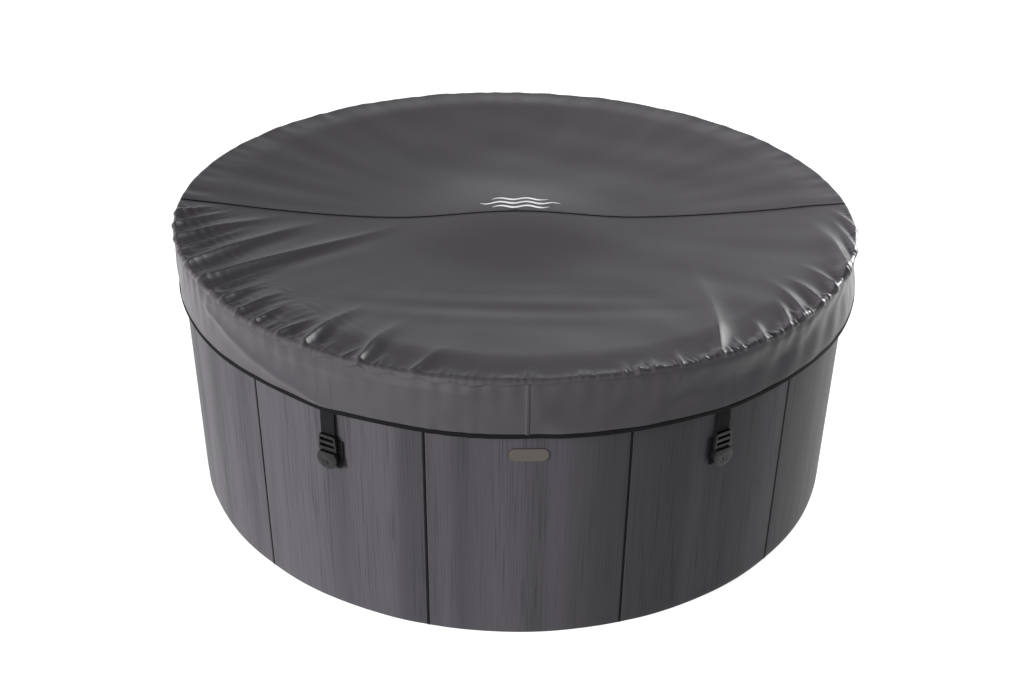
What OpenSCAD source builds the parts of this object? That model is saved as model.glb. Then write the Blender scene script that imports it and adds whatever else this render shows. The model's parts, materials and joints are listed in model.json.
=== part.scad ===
// Round inflatable hot tub with a folding soft cover, four key-lock buckles
// and a heating, filter and bubble unit built into the rear wall.
// Origin: centre of the base on the floor. +Z up, front of the tub towards -Y.

/* [Tub] */
// Outer diameter of the tub
tub_d = 1800; // [1700:10:1900]
// Height of the crown of the inflated rim
tub_h = 716; // [700:1:717]
// Thickness of the air wall
air_wall = 200; // [190:1:210]
// Thickness of the coated sheet
sheet_t = 3; // [2:0.5:3]
// Number of panels round the outer wall
panels = 12; // [12:12:24]
// Width of the seam groove between two panels
groove_w = 3; // [2:0.5:5]

/* [Cover] */
// Height of the crest of the cover, just inside its edge
crest_z = 729; // [729:1:731]
// Lowest height of the cover, part way in from its edge
sag_z = 684; // [680:1:690]
// Height of the middle of the cover
middle_z = 703; // [695:1:710]
// Height of the skirt's hem above the floor
hem_z = 570; // [560:1:580]
// Room between the wall and the skirt
skirt_gap = 9; // [9:0.5:12]

/* [Buckles] */
// Angle of each buckle from the front or the rear
buckle_angle = 30; // [25:1:35]
// Width of the webbing
webbing_w = 38; // [30:1:38]
// Top of the buckle above the floor
buckle_top = 506; // [500:1:506]

/* [Control unit] */
// Number of louvre slots in the access panel
louvres = 8; // [4:1:9]
// Number of bubble holes in the air channel
bubble_holes = 60; // [30:6:72]

/* [Hidden] */
$fn = 96;

tub_r = tub_d / 2;
inner_r = tub_r - air_wall;
panel_step = 360 / panels;
eps = 0.5;

// Rim: an arc from the top of one wall to the top of the other
wall_top = tub_h - 50;
rim_rise = tub_h - wall_top;
rim_arc = (pow(air_wall / 2, 2) + pow(rim_rise, 2)) / (2 * rim_rise);
rim_mid = tub_r - air_wall / 2;

// Floor layers
pad_top = sheet_t + 10;
floor_top = pad_top + sheet_t;

// Cover: height of its upper face at radius r
skirt_r = tub_r + skirt_gap;
dip_r = 325;
crest_r = 855;
edge_drop = 13;
function middle_height(r) = sag_z + (middle_z - sag_z) * (1 + cos(180 * r / dip_r)) / 2;
function slope_height(r) = sag_z + (crest_z - sag_z) * pow((r - dip_r) / (crest_r - dip_r), 1.7);
function edge_height(r) = crest_z - edge_drop * pow((r - crest_r) / 51, 2);
function cover_height(r) =
  r < dip_r ? middle_height(r) : r < crest_r ? slope_height(r) : edge_height(r);
cover_steps = concat([for (i = [0:17]) i * 50], [crest_r, 872, 888, 900, skirt_r]);
half_gap = 0.3;

// Bladder cells under the cover
bladder_r = 685;
bladder_low = 645;
plug_r = 560;
function bladder_floor(r) = bladder_low + 40 * pow(r / bladder_r, 2);

// Buckles, all in one local frame: outward is -Y
strap_face = tub_r + 5;
strap_t = 2;
strap_end = 492;
pocket_z = 446.5;
receiver_top = 461.5;
receiver_mid = 443;
barrel_z = 433;
barrel_r = 6.95;
BUCKLES_FRONT = [-buckle_angle, buckle_angle];
BUCKLES_REAR = [180 + buckle_angle, 180 - buckle_angle];
BUCKLES = concat(BUCKLES_FRONT, BUCKLES_REAR);

// Control unit in the rear wall
rear = 180;
unit_half = 232;
unit_low = 66;
unit_top = 566;
unit_in = inner_r + 6;
unit_out = 858;
window_angle = 14.6;
boss_angle = 13.2;
SCREW_Z = [90, 316, 542];
console_low = 480;
console_top = 544;
console_face = tub_r + 8;
BUTTON_X = [78, 52, 0, -52, -78];
button_row = 512;
button_low = 494;
button_r = 7.5;
pump_z = 150;
return_z = 440;
blower_angle = rear + 9.5;
blower_mid = 786;
blower_z = 152;
hose_z = 38;
pipe_bend = 22;

// Valves
valve_angle = -142.5;
valve_z = 480;
drain_angle = 112.5;
drain_z = 36;
drain_gap = 12;

// ---- helpers ----

// Turns what is drawn at the front to the given angle, + towards +X
module around(angle) {
  rotate([0, 0, angle]) children();
}

// A round bar that runs outward from radius a to radius b
module rod(r, a, b, x = 0, z = 0) {
  translate([x, -a, z]) rotate([90, 0, 0]) cylinder(r = r, h = b - a);
}

// A block between radii a and b
module slab(x0, x1, a, b, z0, z1) {
  translate([x0, -b, z0]) cube([x1 - x0, b - a, z1 - z0]);
}

// A rounded plate, w by h, that runs outward from radius a to radius b
module round_plate(w, h, corner, a, b, z) {
  translate([0, -a, z]) rotate([90, 0, 0]) linear_extrude(b - a) {
    square([w - 2 * corner, h], center = true);
    square([w, h - 2 * corner], center = true);
    for (sx = [-1, 1], sz = [-1, 1])
      translate([sx * (w / 2 - corner), sz * (h / 2 - corner)]) circle(r = corner);
  }
}

// A pipe ring standing on z
module ring(r_out, r_in, z, h) {
  translate([0, 0, z]) difference() {
    cylinder(r = r_out, h = h);
    translate([0, 0, -eps]) cylinder(r = r_in, h = h + 2 * eps);
  }
}

// Turns a flat outline round the middle of the tub, over the front half only
module front_half() {
  difference() {
    rotate([0, 0, 180]) rotate_extrude(angle = 180) children();
    translate([-1000, -half_gap, 0]) cube([2000, 10, 1000]);
  }
}
module rear_half() {
  rotate([0, 0, 180]) front_half() children();
}

// ---- tub shell ----

module base_sheet() {
  color("#2d2c2f") cylinder(r = tub_r - sheet_t, h = sheet_t);
}

module floor_pad() {
  color("#7d8288") translate([0, 0, sheet_t]) cylinder(r = inner_r + sheet_t, h = pad_top - sheet_t);
}

module inner_liner() {
  color("#d9dadc") difference() {
    translate([0, 0, pad_top]) cylinder(r = inner_r + sheet_t, h = wall_top - pad_top);
    translate([0, 0, floor_top]) cylinder(r = inner_r, h = wall_top);
    around(rear) rod(20.3, inner_r - 20, inner_r + 20, 0, pump_z);
    around(rear) rod(20.3, inner_r - 20, inner_r + 20, 0, return_z);
    around(blower_angle) rod(14.3, inner_r - 20, inner_r + 20, 0, hose_z);
    around(drain_angle) rod(16.3, inner_r - 20, inner_r + 20, 0, drain_z);
  }
}

module seam_grooves() {
  for (i = [0 : panels - 1]) {
    angle = (i + 0.5) * panel_step;
    if (abs(angle - rear) > 20)
      around(angle) slab(-groove_w / 2, groove_w / 2, tub_r - 1.6, tub_r + 2, -1, wall_top + 1);
  }
}

module rear_window() {
  translate([0, 0, unit_low]) rotate([0, 0, 90 - window_angle])
    rotate_extrude(angle = 2 * window_angle)
      translate([tub_r - 10, 0]) square([20, unit_top - unit_low]);
}

module outer_wall() {
  color("#56555a") difference() {
    ring(tub_r, tub_r - sheet_t, 0, wall_top);
    seam_grooves();
    rear_window();
    around(valve_angle) rod(20.3, tub_r - 20, tub_r + 20, 0, valve_z);
    around(drain_angle) rod(16.3, tub_r - 20, tub_r + 20, 0, drain_z);
  }
}

module rim_top() {
  color("#56555a") rotate_extrude() intersection() {
    difference() {
      translate([rim_mid, tub_h - rim_arc]) circle(r = rim_arc);
      translate([rim_mid, tub_h - rim_arc]) circle(r = rim_arc - sheet_t);
    }
    translate([inner_r, wall_top]) square([air_wall, rim_rise + 5]);
  }
}

// Upright ties between the two walls, left out behind the control unit
module wall_webs() {
  web_step = panel_step / 2;
  color("#8b8c90") for (i = [0 : 2 * panels - 1])
    if (abs(i * web_step - rear) > 20)
      around(i * web_step)
        slab(-0.75, 0.75, inner_r + sheet_t + 0.2, tub_r - sheet_t - 0.2, sheet_t, wall_top - 6);
}

channel_r = inner_r - 45;
channel_top = floor_top + 44;
module channel_outline(inset) {
  polygon([
    [channel_r + inset, floor_top + inset], [inner_r - inset, floor_top + inset],
    [inner_r - inset, channel_top - inset], [inner_r - 12, channel_top - inset],
    [channel_r + inset, floor_top + 18]
  ]);
}

// Air channel along the foot of the wall, open at the drain
module bubble_ring() {
  start = drain_angle - 90 + drain_gap / 2;
  sweep = 360 - drain_gap;
  color("#c4c5c8") difference() {
    rotate([0, 0, start]) rotate_extrude(angle = sweep) channel_outline(0);
    rotate([0, 0, start + 0.3]) rotate_extrude(angle = sweep - 0.6) channel_outline(2.5);
    for (i = [0 : bubble_holes - 1])
      around(drain_angle + drain_gap + i * (sweep - drain_gap) / (bubble_holes - 1))
        rod(1.5, channel_r - 5, channel_r + 6, 0, floor_top + 9);
    around(blower_angle) rod(11, inner_r - 6, inner_r + 4, 0, hose_z);
  }
}

module badge_plate() {
  color("#a9aaae") intersection() {
    ring(tub_r + 2.6, tub_r + 0.1, 480, 100);
    round_plate(90, 34, 16, tub_r - 10, tub_r + 10, 524.5);
  }
}

// ---- cover ----

module cover_outline() {
  polygon(concat(
    [for (r = cover_steps) [r, cover_height(r)]],
    [for (i = [len(cover_steps) - 1 : -1 : 0]) [cover_steps[i], cover_height(cover_steps[i]) - sheet_t]]
  ));
}

module cover_front() {
  color("#4a494d") front_half() cover_outline();
}

module cover_rear() {
  color("#4a494d") rear_half() cover_outline();
}

module skirt_outline() {
  translate([skirt_r, hem_z + 8]) square([sheet_t, cover_height(skirt_r) - hem_z - 8]);
}

module skirt_front() {
  color("#5c5b60") front_half() skirt_outline();
}

module skirt_rear() {
  color("#5c5b60") rear_half() skirt_outline();
}

// Folded binding over the lower edge of the skirt
module hem_outline() {
  difference() {
    translate([skirt_r - 1.5, hem_z]) square([sheet_t + 3, 12]);
    translate([skirt_r - 0.05, hem_z + 8]) square([sheet_t + 0.1, 10]);
  }
}

module hem_front() {
  color("#1b1b1d") front_half() hem_outline();
}

module hem_rear() {
  color("#1b1b1d") rear_half() hem_outline();
}

// Lapped seam along the fold, on the rear half
module seam_welt() {
  reach = [for (r = cover_steps) if (r < 902) r];
  xs = concat([for (i = [len(reach) - 1 : -1 : 1]) -reach[i]], reach);
  color("#2b2b2d") translate([0, 12, 0]) rotate([90, 0, 0]) linear_extrude(11) polygon(concat(
    [for (x = xs) [x, cover_height(abs(x)) + 1.15]],
    [for (i = [len(xs) - 1 : -1 : 0]) [xs[i], cover_height(abs(xs[i])) + 0.15]]
  ));
}

module bladder_outline() {
  steps = [for (r = cover_steps) if (r < bladder_r) r];
  rim = concat(steps, [bladder_r]);
  polygon(concat(
    [for (r = rim) [r, cover_height(r) - sheet_t - 0.6]],
    [for (i = [len(rim) - 1 : -1 : 0]) [rim[i], bladder_floor(rim[i])]]
  ));
}

// One air cell of the cover, with the neck of its filling valve
module bladder_cell() {
  difference() {
    union() {
      front_half() bladder_outline();
      translate([0, -plug_r, 664]) cylinder(r = 14, h = 16);
    }
    translate([0, -plug_r, 660]) cylinder(r = 8, h = 28);
  }
}

module bladder_front() {
  color("#8d9095") bladder_cell();
}

module bladder_rear() {
  color("#8d9095") rotate([0, 0, 180]) bladder_cell();
}

module bladder_plug() {
  translate([0, -plug_r, 664]) cylinder(r = 7.9, h = 20);
  translate([0, -plug_r, 659.7]) cylinder(r = 12, h = 4);
  translate([0, -plug_r, 663]) cylinder(r = 7.9, h = 2);
}

module bladder_plug_front() {
  color("#e4e4e6") bladder_plug();
}

module bladder_plug_rear() {
  color("#e4e4e6") rotate([0, 0, 180]) bladder_plug();
}

// ---- straps and buckles ----

// Webbing sewn behind the skirt, with its end in the buckle's ladder
module strap(angle) {
  around(angle)
    slab(-webbing_w / 2, webbing_w / 2, strap_face, strap_face + strap_t, strap_end, hem_z + 34);
}

module straps_front() {
  color("#161617") for (angle = BUCKLES_FRONT) strap(angle);
}

module straps_rear() {
  color("#161617") for (angle = BUCKLES_REAR) strap(angle);
}

// Ladder frame that grips the webbing, with the tongue that enters the receiver
module buckle(angle) {
  half = webbing_w / 2 + 0.6;
  color("#232325") around(angle) difference() {
    union() {
      round_plate(52, buckle_top - receiver_top - 0.5, 4, tub_r + 3, tub_r + 13.5,
        (buckle_top + receiver_top + 0.5) / 2);
      slab(-13, 13, tub_r + 5.6, tub_r + 8.6, pocket_z + 1.5, receiver_top + 3);
    }
    slab(-half, half, strap_face - 0.6, strap_face + strap_t + 0.6, receiver_top + 4.5, buckle_top + 5);
    for (z = [receiver_top + 12, receiver_top + 28])
      slab(-half, half, strap_face, tub_r + 15, z, z + 8);
  }
}

module buckle_front_left() { buckle(BUCKLES[0]); }
module buckle_front_right() { buckle(BUCKLES[1]); }
module buckle_rear_left() { buckle(BUCKLES[2]); }
module buckle_rear_right() { buckle(BUCKLES[3]); }

// Round receiver with a pocket for the tongue and a bore for the lock
module receiver() {
  difference() {
    intersection() {
      rod(27, tub_r + 3, tub_r + 18.5, 0, receiver_mid);
      slab(-30, 30, tub_r, tub_r + 20, 400, receiver_top);
    }
    slab(-16.2, 16.2, tub_r + 5, tub_r + 14, pocket_z, receiver_top + 1);
    rod(barrel_r + 0.05, tub_r + 7, tub_r + 20, 0, barrel_z);
    for (x = [-12, 12]) rod(2.05, tub_r + 2, tub_r + 6, x, barrel_z);
  }
}

module buckle_receivers() {
  color("#3b3b3e") for (angle = BUCKLES) around(angle) receiver();
}

module receiver_tabs() {
  color("#161617") for (angle = BUCKLES) around(angle) difference() {
    slab(-18, 18, tub_r + 0.5, tub_r + 2.8, 425, 461);
    for (x = [-12, 12]) rod(2.05, tub_r, tub_r + 3, x, barrel_z);
  }
}

module tab_rivets() {
  color("#b8b9bc") for (angle = BUCKLES, x = [-12, 12])
    around(angle) rod(2, tub_r + 0.6, tub_r + 5.8, x, barrel_z);
}

// Round lock with a key slot
module lock_barrel(angle) {
  color("#1c1c1e") around(angle) difference() {
    rod(barrel_r, tub_r + 7.4, tub_r + 18.9, 0, barrel_z);
    slab(-1.2, 1.2, tub_r + 15, tub_r + 20, barrel_z - 4.5, barrel_z + 4.5);
  }
}

module lock_front_left() { lock_barrel(BUCKLES[0]); }
module lock_front_right() { lock_barrel(BUCKLES[1]); }
module lock_rear_left() { lock_barrel(BUCKLES[2]); }
module lock_rear_right() { lock_barrel(BUCKLES[3]); }

// ---- control unit ----

module panel_bosses(r) {
  for (side = [-1, 1], z = SCREW_Z)
    around(rear + side * boss_angle) rod(r, inner_r + 28, tub_r - sheet_t - 0.3, 0, z);
}

// Moulded tray inside the wall, open outward
module unit_casing() {
  t = 4;
  color("#3a3b3e") difference() {
    union() {
      around(rear) difference() {
        slab(-unit_half, unit_half, unit_in, unit_out, unit_low, unit_top);
        slab(-unit_half + t, unit_half - t, unit_in + t, unit_out + 1, unit_low + t, unit_top - t);
      }
      panel_bosses(6);
    }
    for (side = [-1, 1], z = SCREW_Z)
      around(rear + side * boss_angle) rod(2.25, tub_r - 32, tub_r, 0, z);
    around(rear) rod(20.3, unit_in - 1, unit_in + 6, 0, pump_z);
    around(rear) rod(20.3, unit_in - 1, unit_in + 6, 0, return_z);
    around(blower_angle) translate([0, -blower_mid, unit_low - 1]) cylinder(r = 14.3, h = 8);
  }
}

// Access panel that closes the window in the outer wall
module unit_panel() {
  sweep = window_angle - 0.3;
  color("#56555a") difference() {
    translate([0, 0, unit_low + 2]) rotate([0, 0, 90 - sweep])
      rotate_extrude(angle = 2 * sweep)
        translate([tub_r - sheet_t, 0]) square([sheet_t, unit_top - unit_low - 4]);
    for (side = [-1, 1], z = SCREW_Z)
      around(rear + side * boss_angle) rod(2.6, tub_r - 10, tub_r + 5, 0, z);
    around(rear) slab(-96, 96, tub_r - 30, tub_r + 5, console_low - 1, console_top + 1);
    around(rear) rod(8.1, tub_r - 10, tub_r + 5, 0, 100);
    for (i = [0 : louvres - 1])
      around(blower_angle) slab(-50, 50, tub_r - 15, tub_r + 5, 110 + i * 11, 115 + i * 11);
  }
}

module panel_screws() {
  color("#8f9094") for (side = [-1, 1], z = SCREW_Z)
    around(rear + side * boss_angle) difference() {
      union() {
        rod(2.2, tub_r - 30, tub_r + 1, 0, z);
        rod(5.2, tub_r + 0.2, tub_r + 2.6, 0, z);
      }
      slab(-0.6, 0.6, tub_r + 1.5, tub_r + 4, z - 3, z + 3);
      slab(-3, 3, tub_r + 1.5, tub_r + 4, z - 0.6, z + 0.6);
    }
}

module button_bores(r) {
  for (i = [0 : len(BUTTON_X) - 1])
    rod(r, console_face - 10, console_face + 5, BUTTON_X[i], BUTTON_X[i] == 0 ? button_low : button_row);
}

// Bezel that holds the display, the buttons and the board
module console_housing() {
  plate = console_face - 4;
  color("#1f2023") around(rear) {
    difference() {
      union() {
        slab(-95, 95, tub_r - 32, tub_r + 0.2, console_low, console_top);
        difference() {
          slab(-101, 101, tub_r - 15, console_face, console_low - 6, console_top + 6);
          translate([0, 0, console_low - 10]) cylinder(r = tub_r + 0.2, h = 100);
        }
        slab(-95, 95, tub_r - 2, console_face, console_low, console_top);
      }
      slab(-91, 91, tub_r - 33, plate, console_low + 4, console_top - 4);
      button_bores(button_r + 0.15);
      slab(-29, 29, plate - 1, console_face + 1, 506, 532);
      slab(-31, 31, console_face - 2, console_face + 1, 504, 534);
    }
    for (x = [-84, 84], z = [490, 534]) rod(3, tub_r - 8.4, plate + 1, x, z);
  }
}

module display_lens() {
  color("#0b1a24") around(rear) slab(-30.9, 30.9, console_face - 2, console_face + 0.2, 504.1, 533.9);
}

module control_board() {
  back = tub_r - 10;
  color("#1f6b3a") around(rear) {
    slab(-88, 88, back, back + 1.6, 487, 537);
    slab(-80, -56, back - 14, back, 494, 526);
    slab(-48, -34, back - 9, back, 498, 524);
    slab(-20, 12, back - 3, back, 500, 524);
    for (x = [24, 40, 56]) rod(5, back - 12, back, x, 512);
    slab(66, 82, back - 10, back, 496, 528);
  }
}

module button(i) {
  z = BUTTON_X[i] == 0 ? button_low : button_row;
  color("#d8d9db") around(rear) {
    rod(button_r, console_face - 7, console_face + 1.6, BUTTON_X[i], z);
    rod(button_r + 1.3, console_face - 7, console_face - 4.3, BUTTON_X[i], z);
  }
}

module button_heat() { button(0); }
module button_filter() { button(1); }
module button_bubble() { button(2); }
module button_up() { button(3); }
module button_down() { button(4); }

// Volute with the motor behind it
module pump_housing() {
  a = inner_r + 32;
  color("#2f3033") around(rear) difference() {
    union() {
      rod(46, a, a + 46, 0, pump_z);
      rod(34, a + 46, a + 112, 0, pump_z);
      rod(20, a - 2, a + 1, 0, pump_z);
      translate([0, -a - 22, pump_z]) cylinder(r = 15, h = 58);
      slab(-30, 30, a + 50, a + 104, unit_low + 4, pump_z - 30);
    }
    rod(40, a + 4, a + 42, 0, pump_z);
    rod(15, a - 3, a + 5, 0, pump_z);
    translate([0, -a - 22, pump_z + 30]) cylinder(r = 11, h = 40);
    rod(24, a + 46, a + 108, 0, pump_z);
    rod(4.05, a + 40, a + 50, 0, pump_z);
  }
}

module pump_rotor() {
  a = inner_r + 32;
  color("#c9a227") around(rear) {
    rod(36, a + 36, a + 39, 0, pump_z);
    for (k = [0 : 5])
      translate([0, -a - 24, pump_z]) rotate([0, k * 60, 0]) translate([10, -13, -1.5]) cube([25, 25, 3]);
    rod(4, a + 20, a + 100, 0, pump_z);
    rod(20, a + 52, a + 98, 0, pump_z);
  }
}

module heater_tube() {
  color("#b9bcc0") around(rear) translate([0, -inner_r - 54, 0]) difference() {
    union() {
      translate([0, 0, 232]) cylinder(r = 27, h = 160);
      translate([0, 0, 226]) cylinder(r = 31, h = 8);
      translate([0, 0, 390]) cylinder(r = 31, h = 8);
    }
    translate([0, 0, 220]) cylinder(r = 11, h = 190);
    translate([0, 0, 236]) cylinder(r = 24, h = 152);
  }
}

// A quarter bend in the upright plane: from the outward side at start 270 to straight down,
// or from straight up at start 180 to the outward side
module bend(r, start) {
  rotate([0, 90, 0]) rotate([0, 0, start]) rotate_extrude(angle = 90)
    translate([pipe_bend, 0]) circle(r = r);
}

// From the heater's outlet up and inward to the return fitting
module return_bar(r, over) {
  translate([0, -inner_r - 54, 398 - over]) cylinder(r = r, h = return_z - pipe_bend - 398 + over);
  translate([0, -inner_r - 54 + pipe_bend, return_z - pipe_bend]) bend(r, 180);
  rod(r, inner_r + 30 - over, inner_r + 54 - pipe_bend, 0, return_z);
}

module water_pipes() {
  color("#4b5563") around(rear) {
    translate([0, -inner_r - 54, 0]) ring(15, 11, pump_z + 58, 18);
    difference() {
      return_bar(15, 0);
      return_bar(11, 1);
    }
  }
}

// Through-wall fittings for the water's way out and back
module wall_fittings() {
  color("#cfd0d3") around(rear) {
    difference() {
      union() {
        rod(20, inner_r - 10, inner_r + 30, 0, pump_z);
        rod(46, inner_r - 10, inner_r - 2, 0, pump_z);
      }
      rod(15, inner_r - 11, inner_r + 31, 0, pump_z);
    }
    difference() {
      union() {
        rod(20, inner_r - 10, inner_r + 30, 0, return_z);
        rod(34, inner_r - 16, inner_r - 2, 0, return_z);
      }
      rod(11, inner_r - 9, inner_r + 31, 0, return_z);
      for (z = [-18 : 9 : 18]) slab(-22, 22, inner_r - 17, inner_r - 8, return_z + z - 2, return_z + z + 2);
    }
  }
}

module blower_housing() {
  a = blower_mid - 36;
  color("#45474b") around(blower_angle) difference() {
    union() {
      rod(60, a, a + 62, 0, blower_z);
      rod(32, a + 62, a + 92, 0, blower_z);
      translate([0, -blower_mid, unit_low + 8]) cylinder(r = 18, h = blower_z - unit_low - 8);
    }
    rod(55, a + 5, a + 57, 0, blower_z);
    rod(26, a + 57, a + 88, 0, blower_z);
    translate([0, -blower_mid, unit_low + 4]) cylinder(r = 14.3, h = 50);
    for (k = [0 : 5])
      translate([0, -a + 1, blower_z]) rotate([0, k * 60, 0]) translate([26, 0, 0])
        rotate([90, 0, 0]) cylinder(r = 7, h = 8);
  }
}

module blower_fan() {
  a = blower_mid - 36;
  color("#d3b13a") around(blower_angle) {
    rod(48, a + 50, a + 53, 0, blower_z);
    for (k = [0 : 11])
      translate([0, -a - 30, blower_z]) rotate([0, k * 30, 0])
        translate([32, -21, -1]) cube([15, 42, 2]);
    rod(10, a + 15, a + 51, 0, blower_z);
    rod(5, a + 51, a + 80, 0, blower_z);
    rod(22, a + 60, a + 84, 0, blower_z);
  }
}

// From the blower down through the casing and inward to the air channel
module hose_bar(r, over) {
  translate([0, -blower_mid, hose_z + pipe_bend])
    cylinder(r = r, h = unit_low + 30 - hose_z - pipe_bend + over);
  translate([0, -blower_mid + pipe_bend, hose_z + pipe_bend]) bend(r, 270);
  rod(r, inner_r + 0.5 - over, blower_mid - pipe_bend, 0, hose_z);
}

module air_hose() {
  color("#6b7280") around(blower_angle) difference() {
    hose_bar(14, 0);
    hose_bar(11, 1);
  }
}

module cable_gland() {
  color("#1a1a1c") around(rear) difference() {
    union() {
      rod(8, tub_r - 18, tub_r + 13, 0, 100);
      rod(12, tub_r + 0.3, tub_r + 4, 0, 100);
      rod(10, tub_r + 4, tub_r + 10, 0, 100);
      rod(12, tub_r - 10, tub_r - sheet_t - 0.5, 0, 100);
    }
    rod(4.5, tub_r - 19, tub_r + 14, 0, 100);
  }
}

// ---- filter ----

// Pleated paper ring between two end discs
module filter_cartridge() {
  pleats = 36;
  color("#e8edf2") around(rear) translate([0, -inner_r + 12, pump_z]) rotate([-90, 0, 0]) difference() {
    union() {
      linear_extrude(90) polygon([for (i = [0 : 2 * pleats - 1])
        let (r = i % 2 == 0 ? 48 : 40) [r * cos(i * 180 / pleats), r * sin(i * 180 / pleats)]]);
      cylinder(r = 49, h = 5);
      translate([0, 0, 85]) cylinder(r = 49, h = 5);
    }
    translate([0, 0, -1]) cylinder(r = 22, h = 92);
  }
}

// Cage and cap that hold the cartridge on the wall
module filter_cap() {
  color("#c9cacd") around(rear) translate([0, -inner_r + 10.6, pump_z]) rotate([-90, 0, 0])
    difference() {
      cylinder(r = 54, h = 104);
      translate([0, 0, -1]) cylinder(r = 50, h = 98);
      for (k = [0 : 7]) rotate([0, 0, k * 45 + 22.5]) translate([45, -12, 16]) cube([15, 24, 66]);
      for (k = [0 : 5]) rotate([0, 0, k * 60]) translate([30, 0, 90]) cylinder(r = 6, h = 20);
    }
}

// ---- inflation valve ----

module valve_base() {
  color("#202023") around(valve_angle) difference() {
    union() {
      rod(20, tub_r - 40, tub_r + 1, 0, valve_z);
      rod(30, tub_r + 0.5, tub_r + 4, 0, valve_z);
    }
    rod(12, tub_r - 30, tub_r + 5, 0, valve_z);
    rod(3.3, tub_r - 41, tub_r - 29, 0, valve_z);
    for (k = [0 : 3]) translate([0, -tub_r + 41, valve_z]) rotate([0, 45 + k * 90, 0])
      translate([8, 0, 0]) rotate([90, 0, 0]) cylinder(r = 2.5, h = 12);
  }
}

// Spring-loaded stem that opens the valve when it is pushed in
module valve_stem() {
  color("#3b6ea5") around(valve_angle) {
    rod(3, tub_r - 44, tub_r - 6, 0, valve_z);
    rod(6, tub_r - 9, tub_r - 5, 0, valve_z);
    rod(15, tub_r - 45, tub_r - 40.4, 0, valve_z);
  }
}

module valve_cap() {
  color("#202023") around(valve_angle) {
    rod(26, tub_r + 4.3, tub_r + 9, 0, valve_z);
    rod(11.8, tub_r - 3, tub_r + 5, 0, valve_z);
    slab(-18, 18, tub_r + 8, tub_r + 14, valve_z - 3, valve_z + 3);
  }
}

// ---- drain ----

module drain_pipe() {
  color("#2a2a2d") around(drain_angle) difference() {
    union() {
      rod(16, inner_r - 8, tub_r + 26, 0, drain_z);
      rod(20, inner_r - 8, inner_r - 1, 0, drain_z);
      rod(28, tub_r + 0.5, tub_r + 4, 0, drain_z);
    }
    rod(12, inner_r - 9, tub_r + 27, 0, drain_z);
  }
}

module drain_cap() {
  color("#1d1d1f") around(drain_angle) difference() {
    rod(20, tub_r + 6, tub_r + 31, 0, drain_z);
    rod(16.4, tub_r + 5, tub_r + 27, 0, drain_z);
    for (k = [0 : 11]) translate([0, -tub_r - 6, drain_z]) rotate([0, k * 30, 0])
      translate([21, 0, 0]) rotate([90, 0, 0]) cylinder(r = 2, h = 30);
  }
}

module drain_plug() {
  color("#1d1d1f") around(drain_angle) {
    rod(11.8, inner_r - 9, inner_r + 10, 0, drain_z);
    rod(18, inner_r - 13, inner_r - 8.4, 0, drain_z);
    slab(-9, 9, inner_r - 20, inner_r - 12, drain_z - 2.5, drain_z + 2.5);
  }
}

base_sheet();
floor_pad();
inner_liner();
outer_wall();
rim_top();
wall_webs();
bubble_ring();
badge_plate();
cover_front();
cover_rear();
skirt_front();
skirt_rear();
hem_front();
hem_rear();
seam_welt();
bladder_front();
bladder_rear();
bladder_plug_front();
bladder_plug_rear();
straps_front();
straps_rear();
buckle_front_left();
buckle_front_right();
buckle_rear_left();
buckle_rear_right();
buckle_receivers();
receiver_tabs();
tab_rivets();
lock_front_left();
lock_front_right();
lock_rear_left();
lock_rear_right();
unit_casing();
unit_panel();
panel_screws();
console_housing();
display_lens();
control_board();
button_heat();
button_filter();
button_bubble();
button_up();
button_down();
pump_housing();
pump_rotor();
heater_tube();
blower_housing();
blower_fan();
water_pipes();
air_hose();
wall_fittings();
filter_cartridge();
filter_cap();
valve_base();
valve_stem();
valve_cap();
drain_pipe();
drain_cap();
drain_plug();
cable_gland();
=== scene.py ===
"""Round inflatable hot tub: the looks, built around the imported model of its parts."""

import json
import math

import bmesh
import bpy
import numpy as np
from bpy.props import FloatProperty, FloatVectorProperty, IntProperty, PointerProperty
from mathutils import Matrix, Vector

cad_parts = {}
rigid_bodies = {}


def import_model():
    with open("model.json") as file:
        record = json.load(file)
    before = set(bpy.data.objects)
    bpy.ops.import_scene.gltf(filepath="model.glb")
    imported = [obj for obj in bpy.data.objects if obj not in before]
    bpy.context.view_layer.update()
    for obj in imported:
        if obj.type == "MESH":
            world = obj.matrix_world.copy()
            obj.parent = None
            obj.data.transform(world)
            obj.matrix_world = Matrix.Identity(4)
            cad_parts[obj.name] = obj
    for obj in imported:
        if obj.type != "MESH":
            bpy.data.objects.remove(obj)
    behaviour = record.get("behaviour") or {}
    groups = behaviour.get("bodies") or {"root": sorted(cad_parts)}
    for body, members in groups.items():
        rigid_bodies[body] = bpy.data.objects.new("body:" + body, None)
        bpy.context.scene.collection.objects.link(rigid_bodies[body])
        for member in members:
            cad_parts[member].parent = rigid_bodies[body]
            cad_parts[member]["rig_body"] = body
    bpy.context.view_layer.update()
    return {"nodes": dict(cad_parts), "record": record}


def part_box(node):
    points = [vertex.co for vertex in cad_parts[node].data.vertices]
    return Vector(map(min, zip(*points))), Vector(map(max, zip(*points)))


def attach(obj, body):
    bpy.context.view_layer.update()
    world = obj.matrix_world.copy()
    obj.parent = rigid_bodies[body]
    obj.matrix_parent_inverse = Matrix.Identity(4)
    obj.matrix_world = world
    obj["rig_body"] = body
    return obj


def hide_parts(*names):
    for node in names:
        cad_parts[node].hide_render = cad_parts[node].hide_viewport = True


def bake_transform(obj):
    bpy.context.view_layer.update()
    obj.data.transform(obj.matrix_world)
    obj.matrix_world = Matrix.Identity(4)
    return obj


bl_info = {
    "name": "Inflatable hot tub",
    "version": (1, 0, 0),
    "blender": (4, 5, 0),
    "location": "3D View > Sidebar > Hot tub",
    "description": "Builds the wall, cover, straps and fittings of a round inflatable hot tub",
    "category": "Object",
}

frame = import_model()

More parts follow.
